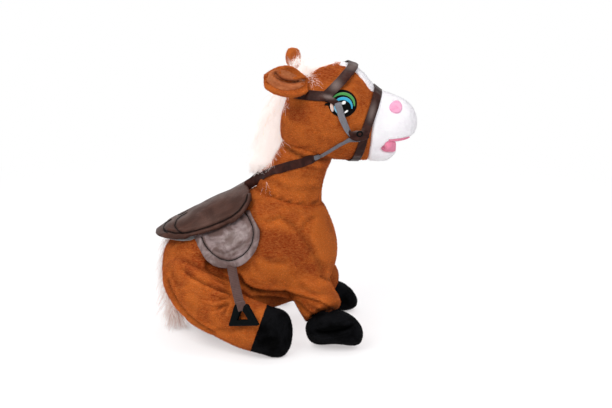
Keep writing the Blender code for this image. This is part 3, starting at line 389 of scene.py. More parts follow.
def mouldedPlastic():
    # matt black polypropylene, moulded: fine spark texture, a soft edge light
    finish, tree, feed = newFinish(
        "matt_black_moulded_plastic", 0.5, IOR=1.49, Specular_IOR_Level=0.05, Base_Color=toLinear("#05090A")
    )
    spark = noiseOf(tree, placeOf(tree), 0.5 * mm, Detail=3.0)
    feed("Roughness", rangeOf(tree, spark, 0.35, 0.65, 0.42, 0.6))
    feed("Normal", bumpOf(tree, spark, 0.25, 0.2 * mm))
    return finish


plasticBlack = mouldedPlastic()
print("finishes made")


# shaping helpers
def newPiece(name, mesh):
    piece = bpy.data.objects.new(name, mesh)
    bpy.context.scene.collection.objects.link(piece)
    return piece


def meshFrom(form, name):
    # ends the shaping of a bmesh as a mesh
    mesh = bpy.data.meshes.new(name)
    form.to_mesh(mesh)
    form.free()
    return mesh


def nodeForm(*nodes):
    # CAD nodes as one bmesh, their doubled corners merged
    form = bmesh.new()
    for node in nodes:
        form.from_mesh(frame["nodes"][node].data)
    bmesh.ops.remove_doubles(form, verts=form.verts, dist=1e-6)
    return form


def settle(piece):
    # turns the piece's modifiers into plain mesh
    bpy.context.view_layer.update()
    graph = bpy.context.evaluated_depsgraph_get()
    done = bpy.data.meshes.new_from_object(piece.evaluated_get(graph), depsgraph=graph)
    piece.modifiers.clear()
    piece.data = done
    return piece


def remesh(piece, voxel):
    skin = piece.modifiers.new("evenSkin", "REMESH")
    skin.mode = "VOXEL"
    skin.voxel_size = voxel


def relax(piece, rounds):
    ease = piece.modifiers.new("relax", "SMOOTH")
    ease.factor = 0.5
    ease.iterations = rounds


def swell(piece, height):
    grown = piece.modifiers.new("swell", "DISPLACE")
    grown.mid_level = 0.0
    grown.strength = height


def subdivide(piece, levels=1):
    finer = piece.modifiers.new("finer", "SUBSURF")
    finer.levels = finer.render_levels = levels


def calm(piece, rounds):
    # evens out a soft skin
    relax(piece, rounds)
    return settle(piece)


def softCopy(name, nodes, voxel, rounds):
    # an even, rounded skin over merged copies of CAD nodes
    mesh = meshFrom(nodeForm(*nodes), name)
    mesh.materials.clear()
    piece = newPiece(name, mesh)
    remesh(piece, voxel)
    return calm(piece, rounds)


def readPoints(piece):
    count = len(piece.data.vertices)
    points = np.empty(count * 3)
    piece.data.vertices.foreach_get("co", points)
    normals = np.empty(count * 3)
    piece.data.vertices.foreach_get("normal", normals)
    return points.reshape(-1, 3), normals.reshape(-1, 3)


def writePoints(piece, points):
    piece.data.vertices.foreach_set("co", points.ravel())
    piece.data.update()


def toLine(places, line):
    # distance from photo places to a line of photo pixels, and the share along it
    best = np.full(len(places), 1e9)
    share = np.zeros(len(places))
    line = np.array(line, float)
    steps = np.linalg.norm(np.diff(line, axis=0), axis=1)
    reached = np.concatenate([[0], np.cumsum(steps)])
    for k in range(len(line) - 1):
        a, b = line[k], line[k + 1]
        t = np.clip(((places - a) @ (b - a)) / max((b - a) @ (b - a), 1e-9), 0, 1)
        gap = np.linalg.norm(places - (a + t[:, None] * (b - a)), axis=1)
        near = gap < best
        best[near] = gap[near]
        share[near] = (reached[k] + t[near] * steps[k]) / reached[-1]
    return best, share


def facingCamera(normals, points):
    # how far the skin faces the photograph's camera; the left side its mirror
    sideways = np.where(points[:, 1] > 0, -1.0, 1.0)
    return -(normals[:, 1] * sideways * tiltCos - normals[:, 2] * tiltSin)


def shownToSide(normals, points):
    return np.clip(facingCamera(normals, points) * 3, 0, 1)


def crease(width, depth, line, **more):
    # half width in photo pixels, depth in mm (less than 0 raises the skin), the line in photo pixels
    # dark, among the more, is the strength of the painted shade along the line
    return {"width": width, "depth": depth, "line": line, **more}


foldShape = {
    "fade": 0.15, "swell": 0.38, "swellAt": 2.1,  # run-out at the ends; the raised skin beside a fold
    # dark and light: painted shade in a fold and a painted highlight beside it, kept between brightest and
    # darkest
    "dark": 0.13, "darkWidth": 0.75, "light": 0.28, "lightAt": 2.3, "brightest": -0.16, "darkest": 0.85,
}


def pressFolds(piece, folds):
    # presses folds into a soft skin along lines of the photograph, with a swell on both sides
    # the fold gets painted shade and the swell beside it a painted highlight, both kept in the foldShade
    # attribute
    points, normals = readPoints(piece)
    places = photoPlace(points)
    facing = facingCamera(normals, points)
    shown = np.clip(facing * 3, 0, 1)
    inSight = np.clip(facing * 3 + 1.0, 0, 1)
    push = np.zeros(len(points))
    shade = np.zeros(len(points), dtype=np.float32)
    held = piece.data.attributes.get("foldShade") or piece.data.attributes.new("foldShade", "FLOAT", "POINT")
    held.data.foreach_get("value", shade)
    for one in folds:
        gap, share = toLine(places, one["line"])
        fade = np.clip(np.minimum(share, 1 - share) / one.get("fade", foldShape["fade"]), 0, 1)
        w, depth = one["width"], one["depth"] * mm
        push -= depth * fade * np.exp(-((gap / w) ** 2))
        push += depth * foldShape["swell"] * fade * np.exp(-(((gap - foldShape["swellAt"] * w) / w) ** 2))
        dark = one.get("dark", foldShape["dark"] * max(one["depth"], 0.0))
        shade += dark * fade * inSight * np.exp(-((gap / (foldShape["darkWidth"] * w)) ** 2))
        beside = np.exp(-(((gap - foldShape["lightAt"] * w) / w) ** 2))
        shade -= dark * foldShape["light"] * fade * shown * beside
    writePoints(piece, points + normals * (push * shown)[:, None])
    shade = np.clip(shade, foldShape["brightest"], foldShape["darkest"])
    piece.data.attributes["foldShade"].data.foreach_set("value", shade.astype(np.float32))


def stuffCloth(piece, look):
    # fabric blown up by its filling: a coarse copy as pressed cloth, its movement capped
    scene = bpy.context.scene
    remesh(piece, look["voxel"])
    settle(piece)
    start, normals = readPoints(piece)
    cloth = piece.modifiers.new("stuffing", "CLOTH")
    cloth.settings.use_pressure = True
    cloth.settings.uniform_pressure_force = look["pressure"]
    cloth.settings.effector_weights.gravity = 0.0
    cloth.settings.quality = 5
    cloth.point_cache.frame_start = 1
    cloth.point_cache.frame_end = look["frames"]
    for step in range(1, look["frames"] + 1):
        scene.frame_set(step)
    settle(piece)
    scene.frame_set(1)
    points, _ = readPoints(piece)
    move = points - start
    length = np.maximum(np.linalg.norm(move, axis=1), 1e-9)
    print("%s stuffed, moved up to %.1f mm" % (piece.name, length.max() * 1000))
    writePoints(piece, start + move * np.minimum(1.0, look["cap"] / length)[:, None])
    calm(piece, 4)
    subdivide(piece)
    settle(piece)


def waver(points, size, seed=0):
    # smooth made-up waviness between -1 and 1 at each point: the mean of six bent waves
    count = 6
    phase = np.random.default_rng(seed).uniform(0, 2 * math.pi, (count, 3))
    turn = np.random.default_rng(seed + 1).normal(size=(count, 3))
    turn /= np.linalg.norm(turn, axis=1)[:, None]
    total = np.zeros(len(points))
    for k in range(count):
        along = points @ turn[k] * (2 * math.pi / size) * (0.7 + 0.22 * k)
        across = points @ np.roll(turn[k], 1) * (2 * math.pi / size) * 0.6
        total += np.sin(along + 1.3 * np.sin(across + phase[k, 1]) + phase[k, 0])
    return total / count * 1.6


def roundEnd(piece, look):
    # draws the back end of a cushion out to a rounded nose
    points, normals = readPoints(piece)
    start = look["from"] + look["length"]
    reach = start - points[:, 0].min()
    x = np.where(points[:, 0] < start, start - (start - points[:, 0]) * look["length"] / reach, points[:, 0])
    share = np.clip((x - look["from"]) / look["length"], 0, 1)
    points[:, 0] = x
    points[:, 1] *= look["narrow"] + (1 - look["narrow"]) * np.sqrt(1 - (1 - share) ** 2)
    flat = look["flat"] + (1 - look["flat"]) * share**0.7
    points[:, 2] = look["height"] + (points[:, 2] - look["height"]) * flat
    writePoints(piece, points)


def clearSwing(piece, pivot, axis, degrees, tree, room):
    # dents a soft piece where its swing would carry it into its neighbour
    turn = Matrix.Rotation(math.radians(degrees), 4, Vector(axis))
    there = Matrix.Translation(pivot) @ turn @ Matrix.Translation(-Vector(pivot))
    back = there.inverted()
    deepest = 0.0
    for v in piece.data.vertices:
        place = there @ v.co
        near, normal, _, gap = tree.find_nearest(place)
        depth = room - (place - near).dot(normal)
        if depth > 0 and gap < 12 * mm:
            deepest = max(deepest, depth)
            v.co = back @ (place + normal * depth)
    print(piece.name, "dented by up to %.1f mm" % (deepest * 1000))


def ripple(piece, size, height, seed=0):
    # small unevenness of a stuffed or wrinkled skin
    points, normals = readPoints(piece)
    writePoints(piece, points + normals * (waver(points, size, seed) * height)[:, None])


# places of the photograph: middle, half sizes, lean in degrees, strength
napAndPaintedLightZones = [  # nap brushed lighter by a hand, or darker where the strength is below 0, and painted highlights and painted shade, such as the grey sheen and dark creases of the feet
    (324, 238, 11, 30, -8, 0.75), (284, 276, 42, 11, 12, 0.55), (284, 221, 24, 7, 8, 0.35),
    (300, 190, 30, 13, 0, 0.25), (322, 124, 17, 15, 0, 0.30), (278, 249, 26, 17, 20, -0.65),
    (303, 262, 15, 9, 50, -0.4), (196, 262, 26, 12, 30, -0.25), (300, 110, 13, 8, 0, -0.35),
    (228, 335, 26, 9, 20, 0.35), (186, 300, 12, 18, 30, 0.25), (352, 100, 7, 12, 0, 0.25),
    (335, 72, 20, 7, -20, -0.3), (316, 293, 18, 5, 20, 0.3), (262, 316, 7, 11, 20, 0.9),
    (281, 322, 6, 16, -20, 0.35), (336, 317, 18, 5, -12, 0.8), (326, 340, 16, 4, 8, 0.5),
    (347, 290, 7, 8, 0, 0.6), (270, 343, 10, 7, 0, -0.8), (334, 329, 20, 3, -6, -0.8),
]
paintedHighlightZones = [  # painted highlights where the leather bends and takes the light
    (336, 85, 5, 6, 20, 0.5), (353, 66, 7, 4, -20, 0.35), (329, 97, 6, 2, 10, 0.6), (372, 112, 3, 9, 15, 0.5),
    (357, 130, 5, 2.0, 0, 0.6), (226, 191, 12, 5, -25, 0.22), (182, 216, 12, 4, -25, 0.28),
    (205, 222, 14, 4, -20, 0.12),
]


def paintZones(piece, points, name, zones, edge):
    # writes the sum of soft ovals as an attribute; a higher edge gives a firmer border
    places = photoPlace(points)
    total = np.zeros(len(points))
    for x, y, wide, high, lean, strength in zones:
        a = math.radians(lean)
        dx, dy = places[:, 0] - x, places[:, 1] - y
        u = (dx * math.cos(a) + dy * math.sin(a)) / wide
        w = (-dx * math.sin(a) + dy * math.cos(a)) / high
        total += strength * np.exp(-((u * u + w * w) ** edge))
    piece.data.attributes.new(name, "FLOAT", "POINT").data.foreach_set("value", total)


def combSkin(piece, flow, swirl, size, seed):
    # the way the pile lies at every point of the skin
    points, normals = readPoints(piece)
    way = np.tile(np.array(flow, float), (len(points), 1))
    way = way - normals * np.sum(way * normals, axis=1)[:, None]
    way /= np.maximum(np.linalg.norm(way, axis=1), 1e-6)[:, None]
    turn = waver(points, size, seed) * swirl
    across = np.cross(normals, way)
    way = way * np.cos(turn)[:, None] + across * np.sin(turn)[:, None]
    piece.data.attributes.new("comb", "FLOAT_VECTOR", "POINT").data.foreach_set("vector", way.ravel())
    # the nap brushed lighter or darker, with painted highlights and painted shade, from the zones
    paintZones(piece, points, "napLight", napAndPaintedLightZones, 2)


def paintHighlights(piece):
    # painted highlights of the leather, laid in the zones
    points, normals = readPoints(piece)
    paintZones(piece, points, "rubbed", paintedHighlightZones, 1)


def slideOn(piece, tree, moves, reach):
    # slides a soft piece over a surface, so that a photo place of it comes to another
    points, normals = readPoints(piece)
    places = photoPlace(points)
    total = np.zeros_like(points)
    for y in sides.values():
        own = points[:, 1] * y > 0
        sums = np.zeros((len(points), 3))
        weights = np.zeros(len(points))
        for fromX, fromY, toX, toY in moves:
            hitA = tree.ray_cast(*photoRay(fromX, fromY, y))[0]
            hitB = tree.ray_cast(*photoRay(toX, toY, y))[0]
            if hitA is None or hitB is None:
                step = np.array([(toX - fromX) * mm, 0.0, (fromY - toY) * mm / tiltCos])
            else:
                step = np.array(hitB - hitA)
            share = np.exp(-np.sum((places - (fromX, fromY)) ** 2, axis=1) / reach**2)
            sums += step * share[:, None]
            weights += share
        offMiddle = np.clip(np.abs(points[:, 1]) / 0.012, 0, 1)
        total += sums * (own / np.maximum(weights, 1.0) * offMiddle)[:, None]
    writePoints(piece, points + total)


def strandShape(name, length, width):
    # one straight fibre of three faces; along runs from its root to its tip
    form = bmesh.new()
    bmesh.ops.create_cone(
        form, cap_ends=False, segments=3, radius1=width / 2, radius2=width * 0.08, depth=length
    )
    bmesh.ops.translate(form, verts=form.verts, vec=(0, 0, length / 2))
    top = [v for v in form.verts if v.co.z > length / 2]
    bmesh.ops.pointmerge(form, verts=top, merge_co=(0, 0, length))
    along = form.verts.layers.float.new("along")
    for v in form.verts:
        v[along] = v.co.z / length
    return newPiece(name, meshFrom(form, name))


def namedOf(group, name):
    terms = {"Name": name}
    return addNode(
        group, "GeometryNodeInputNamedAttribute", terms, data_type="FLOAT_VECTOR"
    ).outputs["Attribute"]


def storedOn(group, shape, name, value, **settings):
    terms = {"Name": name, "Geometry": shape, "Value": value}
    return addNode(group, "GeometryNodeStoreNamedAttribute", terms, **settings).outputs["Geometry"]


def chanceOf(group, low, high, seed):
    # a random number for each strand, or a random vector
    if isinstance(low, tuple):
        node = addNode(
            group, "FunctionNodeRandomValue", {0: low, 1: high, "Seed": seed}, data_type="FLOAT_VECTOR"
        )
        return node.outputs[0]
    return addNode(
        group, "FunctionNodeRandomValue", {2: low, 3: high, "Seed": seed}, data_type="FLOAT"
    ).outputs[1]


def scatterBase(name, look, keepOff):
    # the start that short pile and long hair share: points on the skin and the way each one leans
    group = bpy.data.node_groups.new(name, "GeometryNodeTree")
    group.interface.new_socket("Geometry", in_out="INPUT", socket_type="NodeSocketGeometry")
    group.interface.new_socket("Geometry", in_out="OUTPUT", socket_type="NodeSocketGeometry")
    start = addNode(group, "NodeGroupInput").outputs["Geometry"]
    spread = addNode(group, "GeometryNodeDistributePointsOnFaces", {
        "Density": look["density"] * 1e6, "Seed": look["seed"], "Mesh": start,
    })
    tagged = storedOn(
        group, spread.outputs["Points"], "skinNormal", spread.outputs["Normal"],
        data_type="FLOAT_VECTOR", domain="POINT",
    )
    if keepOff is not None:
        other = addNode(group, "GeometryNodeObjectInfo", {"Object": keepOff}).outputs["Geometry"]
        gap = addNode(group, "GeometryNodeProximity", {0: other}, target_element="FACES").outputs["Distance"]
        close = addNode(
            group, "FunctionNodeCompare", {0: gap, 1: look["clear"]}, data_type="FLOAT", operation="LESS_THAN"
        ).outputs["Result"]
        tagged = addNode(
            group, "GeometryNodeDeleteGeometry", {"Geometry": tagged, "Selection": close}, domain="POINT"
        ).outputs["Geometry"]
    up = vectorOf(group, "SCALE", namedOf(group, "skinNormal"), look["rise"])
    stray = chanceOf(group, (-look["stray"],) * 3, (look["stray"],) * 3, look["seed"] + 11)
    lean = vectorOf(group, "ADD", vectorOf(group, "ADD", up, namedOf(group, "comb")), stray)
    turn = addNode(group, "FunctionNodeAlignRotationToVector", {"Vector": lean}, axis="Z").outputs["Rotation"]
    tint = chanceOf(group, 0.0, 1.0, look["seed"] + 5)
    size = chanceOf(group, look["shortest"], 1.0, look["seed"] + 7)
    return group, start, tagged, turn, size, tint


def standOn(group, points, strand, turn, size, tint):
    # the strand on every point, each with its own tint
    terms = {"Points": points, "Instance": strand, "Rotation": turn, "Scale": size}
    grown = addNode(group, "GeometryNodeInstanceOnPoints", terms).outputs["Instances"]
    grown = storedOn(group, grown, "strandTint", tint, data_type="FLOAT", domain="INSTANCE")
    return addNode(group, "GeometryNodeRealizeInstances", {0: grown}).outputs[0]


def finishHair(group, parts, piece, name):
    joined = addNode(group, "GeometryNodeJoinGeometry")
    for part in parts:
        group.links.new(part, joined.inputs[0])
    smooth = addNode(group, "GeometryNodeSetShadeSmooth", {"Shade Smooth": True, "Geometry": joined.outputs[0]})
    addNode(group, "NodeGroupOutput", {0: smooth.outputs[0]})
    growth = piece.modifiers.new(name, "NODES")
    growth.node_group = group
    settle(piece)


def growPile(piece, look, keepOff):
    # short pile: tens of thousands of small fibres that stand on the skin and lean with the comb
    fibre = strandShape(piece.name + "_fibre", look["length"], look["width"])
    group, start, points, turn, size, tint = scatterBase(piece.name + "_pile", look, keepOff)
    shape = addNode(group, "GeometryNodeObjectInfo", {"Object": fibre}).outputs["Geometry"]
    finishHair(group, [start, standOn(group, points, shape, turn, size, tint)], piece, "pile")
    bpy.data.objects.remove(fibre)


def growHair(piece, look, keepOff=None, withSkin=True):
    # long hair: curved tapering strands that hang and gather into locks
    group, start, points, turn, size, tint = scatterBase(piece.name + "_hair", look, keepOff)
    line = addNode(
        group, "GeometryNodeCurvePrimitiveLine", {"Start": (0, 0, 0), "End": (0, 0, look["length"])}
    ).outputs["Curve"]
    line = addNode(
        group, "GeometryNodeResampleCurve", {"Count": look["joints"], "Curve": line}
    ).outputs["Curve"]
    grown = standOn(group, points, line, turn, size, tint)
    along = addNode(group, "GeometryNodeSplineParameter").outputs["Factor"]
    where = addNode(group, "GeometryNodeInputPosition").outputs[0]
    shift = vectorOf(group, "SCALE", look["fall"], mathOf(group, "POWER", along, look["bendPower"]))
    for waveSize, waveHeight in look["waves"]:
        noise = addNode(
            group, "ShaderNodeTexNoise", {"Scale": 1 / waveSize, "Detail": 1.0, "Vector": where}
        ).outputs["Color"]
        centred = vectorOf(group, "SUBTRACT", noise, (0.5, 0.5, 0.5))
        wave = vectorOf(group, "SCALE", centred, mathOf(group, "MULTIPLY", along, waveHeight))
        shift = vectorOf(group, "ADD", shift, wave)
    grown = addNode(group, "GeometryNodeSetPosition", {"Geometry": grown, "Offset": shift}).outputs["Geometry"]
    grown = storedOn(group, grown, "along", along, data_type="FLOAT", domain="POINT")
    taper = rangeOf(group, along, toLow=1.0, toHigh=0.12)
    grown = addNode(group, "GeometryNodeSetCurveRadius", {"Curve": grown, "Radius": taper}).outputs["Curve"]
    ring = addNode(
        group, "GeometryNodeCurvePrimitiveCircle", {"Resolution": 3, "Radius": look["width"] / 2}
    ).outputs["Curve"]
    tube = addNode(
        group, "GeometryNodeCurveToMesh", {"Fill Caps": False, "Curve": grown, "Profile Curve": ring}
    )
    if "Scale" in tube.inputs:
        group.links.new(taper, tube.inputs["Scale"])
    finishHair(group, [start, tube.outputs["Mesh"]] if withSkin else [tube.outputs["Mesh"]], piece, "hair")


def onSurface(tree, px, py, side, lift=0.0):
    # where the ray through a photo pixel meets a surface
    start, towards = photoRay(px, py, side)
    hit, normal, _, _ = tree.ray_cast(start, towards)
    if hit is None:
        hit, normal, _, _ = tree.find_nearest(start + towards * shot["distance"])
    return hit + normal * lift, normal


def surfaceOf(*pieces):
    form = bmesh.new()
    for piece in pieces:
        form.from_mesh(piece.data)
    tree = BVHTree.FromBMesh(form)
    form.free()
    return tree


def joinedCopy(name, pieces):
    form = bmesh.new()
    for piece in pieces:
        form.from_mesh(piece.data)
    return newPiece(name, meshFrom(form, name))


def dress(piece, finish, body, nodes=()):
    # finish, body, CAD nodes that it stands for
    piece.data.materials.clear()
    piece.data.materials.append(finish)
    piece.data.polygons.foreach_set("use_smooth", [True] * len(piece.data.polygons))
    if body:
        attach(piece, body)
    if nodes:
        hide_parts(*nodes)
    return piece


def evened(steps):
    # each step becomes the mean of itself, counted twice, and its neighbours; the ends stay
    return [steps[0]] + [(a + b * 2 + c) / 4 for a, b, c in zip(steps, steps[1:], steps[2:])] + [steps[-1]]


def routeOn(tree, side, line, step, rounds=2):
    # evenly spaced places of a photo line on a surface, with their outward directions
    line = np.array(line, float)
    reached = np.concatenate([[0], np.cumsum(np.linalg.norm(np.diff(line, axis=0), axis=1))])
    at = np.linspace(0, reached[-1], max(int(reached[-1] / step), 2) + 1)
    spots = np.stack([np.interp(at, reached, line[:, 0]), np.interp(at, reached, line[:, 1])], axis=1)
    for _ in range(2):
        spots[1:-1] = (spots[:-2] + 2 * spots[1:-1] + spots[2:]) / 4
    found = [onSurface(tree, x, y, side) for x, y in spots]
    places = [f[0] for f in found]
    outward = [f[1] for f in found]
    for _ in range(rounds):
        places = evened(places)
        outward = [outward[0]] + [v.normalized() for v in evened(outward)[1:-1]] + [outward[-1]]
    return places, outward


def layStrap(name, side, strap, finish, tree):
    # a flat strap laid on a surface along a photo line; lift, width and twist are given at shares of its length
    places, outward = routeOn(tree, side, strap["line"], 1.0)
    for px, py, out in strap.get("beyond", []):
        # past the surface it hangs free, its face to the side
        start, towards = photoRay(px, py, side)
        last, turn = places[-1], outward[-1]
        goal = start + towards * ((out * side - start.y) / towards.y)
        steps = max(2, int((goal - last).length / mm))
        for k in range(1, steps + 1):
            places.append(last.lerp(goal, k / steps))
            outward.append(turn.lerp(Vector((0, side, 0.3)), k / steps).normalized())
    rows = len(places)
    half = strap["width"] / 2
    form = bmesh.new()
    bmesh.ops.create_grid(form, x_segments=rows - 1, y_segments=4, size=1.0)
    for v in form.verts:
        k = round((v.co.x + 1) / 2 * (rows - 1))
        u = v.co.y
        lift, wide, twist = [
            float(np.interp(k / (rows - 1), strap["shares"], strap[key])) if key in strap else 0.0
            for key in ("lift", "wide", "twist")
        ]
        angle = math.radians(twist)
        ahead = (places[min(k + 1, rows - 1)] - places[max(k - 1, 0)]).normalized()
        across = ahead.cross(outward[k]).normalized()
        out = outward[k] * math.cos(angle) - across * math.sin(angle) * side
        flat = across * math.cos(angle) + outward[k] * math.sin(angle) * side
        crown = 0.35 * mm * (1 - u * u)
        v.co = places[k] + outward[k] * lift + flat * (half * wide) * u + out * crown
    bmesh.ops.solidify(form, geom=form.faces[:], thickness=strap["thick"])
    bmesh.ops.recalc_face_normals(form, faces=form.faces)
    piece = newPiece(name, meshFrom(form, name))
    subdivide(piece)
    settle(piece)
    return dress(piece, finish, "")


def sewLine(name, side, line, tree, thread, body):
    # sewn stitches: short capsules that dip into the surface at both ends
    places, outward = routeOn(tree, side, line, 0.4, 3)
    reached = [0.0]
    for a, b in zip(places, places[1:]):
        reached.append(reached[-1] + (b - a).length)
    pitch = thread["length"] + thread["gap"]
    r = thread["thick"] / 2
    form = bmesh.new()
    for n in range(int(reached[-1] / pitch)):
        start, end = n * pitch, n * pitch + thread["length"]
        i = int(np.searchsorted(reached, start))
        j = min(int(np.searchsorted(reached, end)), len(places) - 1)
        middle = (places[i] + places[j]) / 2 + outward[i] * thread["lift"]
        ahead = (places[j] - places[i]).normalized()
        across = ahead.cross(outward[i]).normalized()
        turn = Matrix((across, outward[i], ahead)).transposed().to_4x4()
        shape = Matrix.Translation(middle) @ turn @ Matrix.Diagonal((r, r, thread["length"] / 2 + r, 1.0))
        bmesh.ops.create_uvsphere(form, u_segments=6, v_segments=4, radius=1.0, matrix=shape)
    dress(newPiece(name, meshFrom(form, name)), threadBlack, body, ())


def pull(piece, centre, radius, shift):
    # moves the skin near a point of the right side, fading out to the radius; the left side alike
    points, normals = readPoints(piece)
    flipped = points.copy()
    flipped[:, 1] = -np.abs(flipped[:, 1])
    away = np.linalg.norm(flipped - np.array(centre), axis=1) / radius
    share = np.where(away < 1, (1 - away * away) ** 2, 0)
    move = np.tile(np.array(shift, float), (len(points), 1))
    move[:, 1] *= np.where(points[:, 1] > 0, -1, 1)
    writePoints(piece, points + move * share[:, None])


def insideOutline(places, outline):
    # whether photo places are inside a closed outline
    outline = np.array(outline, float)
    within = np.zeros(len(places), bool)
    for a, b in zip(outline, np.roll(outline, -1, axis=0)):
        crosses = (a[1] > places[:, 1]) != (b[1] > places[:, 1])
        x = a[0] + (places[:, 1] - a[1]) * (b[0] - a[0]) / (b[1] - a[1] + 1e-12)
        within ^= crosses & (places[:, 0] < x)
    return within


def makeStudio(look):
    # floor and light
    form = bmesh.new()
    bmesh.ops.create_grid(form, x_segments=1, y_segments=1, size=look["reach"])
    far = [e for e in form.edges if all(v.co.y > 0 for v in e.verts)]
    rise = bmesh.ops.extrude_edge_only(form, edges=far)["geom"]
    bmesh.ops.translate(
        form, verts=[v for v in rise if isinstance(v, bmesh.types.BMVert)], vec=(0, 0, look["reach"])
    )
    corner = [e for e in far if e.is_valid]
    bmesh.ops.bevel(
        form, geom=corner, offset=look["sweep"], affect="EDGES", segments=12, profile=0.5, material=-1
    )
    sweep = newPiece("paperSweep", meshFrom(form, "paperSweep"))
    sweep.data.polygons.foreach_set("use_smooth", [True] * len(sweep.data.polygons))
    # white studio paper: seen by the camera it is near its own white and keeps a faint shadow
    paper = bpy.data.materials.new("white_studio_paper")
    paper.use_nodes = True
    tree = paper.node_tree
    tree.nodes.clear()

    def shaderOf(kind, terms):
        return addNode(tree, kind, terms).outputs[0]

    matt = shaderOf("ShaderNodeBsdfDiffuse", {"Color": toLinear(look["paper"])})
    keep = shaderOf("ShaderNodeBsdfDiffuse", {"Color": toLinear(look["shadowShare"])})
    # painted contact shadow: the paper glows less where ambient occlusion finds the toy close over it
    paintedShadow = addNode(tree, "ShaderNodeAmbientOcclusion", {"Distance": look["paintedShadowReach"]}).outputs["AO"]
    share = rangeOf(tree, paintedShadow, 0.05, 0.45, look["paintedShadowGlow"], 1.0)
    glow = shaderOf("ShaderNodeEmission", {"Color": toLinear(look["glow"]), "Strength": share})
    near = shaderOf("ShaderNodeAddShader", {0: keep, 1: glow})
    bare = shaderOf("ShaderNodeEmission", {"Color": (1, 1, 1, 1), "Strength": 1.0})
    away = addNode(tree, "ShaderNodeVectorMath", {0: placeOf(tree)}, operation="LENGTH").outputs["Value"]
    outer = rangeOf(tree, away, 0.35, 0.8, smooth=True)
    both = shaderOf("ShaderNodeMixShader", {0: outer, 1: near, 2: bare})
    path = addNode(tree, "ShaderNodeLightPath").outputs
    seen = mathOf(tree, "MAXIMUM", path["Is Camera Ray"], path["Is Glossy Ray"])
    seen = mathOf(tree, "MAXIMUM", seen, path["Is Transmission Ray"])
    chosen = shaderOf("ShaderNodeMixShader", {0: seen, 1: matt, 2: both})
    addNode(tree, "ShaderNodeOutputMaterial", {"Surface": chosen})
    sweep.data.materials.append(paper)

    world = bpy.data.worlds.new("studio")
    bpy.context.scene.world = world
    world.use_nodes = True
    tree = world.node_tree
    room = tree.nodes["Background"]
    room.inputs["Color"].default_value = toLinear(look["roomColour"])
    room.inputs["Strength"].default_value = look["roomLevel"]
    white = addNode(tree, "ShaderNodeBackground", {"Color": (1, 1, 1, 1), "Strength": 1.0}).outputs[0]
    path = addNode(tree, "ShaderNodeLightPath").outputs
    chosen = addNode(tree, "ShaderNodeMixShader", {0: path["Is Camera Ray"], 1: room.outputs[0], 2: white})
    tree.links.new(chosen.outputs[0], tree.nodes["World Output"].inputs["Surface"])
    for name, place, size, power, tone in look["lamps"]:
        lamp = bpy.data.lights.new(name, "AREA")
        lamp.shape = "RECTANGLE"
        lamp.size, lamp.size_y = size
        lamp.energy = power
        lamp.color = toLinear(tone)[:3]
        holder = bpy.data.objects.new(name, lamp)
        holder.location = place
        holder.rotation_euler = (aim - Vector(place)).to_track_quat("-Z", "Y").to_euler()
        bpy.context.scene.collection.objects.link(holder)


makeStudio({
    "reach": 3.0, "sweep": 0.8, "paper": "#E8E8E8", "shadowShare": "#959C9D", "glow": "#E0DADA",
    # painted contact shadow: how far it reaches and how dim the glow gets
    "paintedShadowReach": 0.042, "paintedShadowGlow": 0.58,
    "roomColour": "#F4F6FA", "roomLevel": 0.55,
    "lamps": [
        ("keySoftbox", (-0.9, -1.3, 1.7), (1.2, 1.0), 26.0, "#FFFDF8"),
        ("fillSoftbox", (1.5, -1.4, 0.7), (1.2, 1.2), 8.0, "#F6F8FF"),
        ("topSoftbox", (0.0, 0.3, 1.9), (1.4, 1.0), 12.0, "#FFFFFF"),
    ],
})
print("studio ready")


# tack that the pile keeps clear of
tack = {}
tackNodes = []  # CAD node, name, voxel and rounds of smoothing
for side in sides:
    tackNodes += [
        (side + "_saddle_flap", side + "_flap_cover", 0.9 * mm, 3),
        (side + "_stirrup_leather", side + "_stirrup_webbing", 0.6 * mm, 2),
        (side + "_stirrup", side + "_stirrup_cast", 0.6 * mm, 3),
    ]
tackNodes += [
    ("crown_strap", "crown_band", 0.55 * mm, 2), ("browband", "brow_band", 0.55 * mm, 2),
    ("noseband", "nose_band", 0.55 * mm, 2), ("saddle_seat", "seat_cushion", 1.1 * mm, 5),
    ("saddle_pad", "felt_pad", 0.8 * mm, 2),
]
for node, name, voxel, rounds in tackNodes:
    tack[node] = softCopy(name, [node], voxel, rounds)
print("tack shaped")


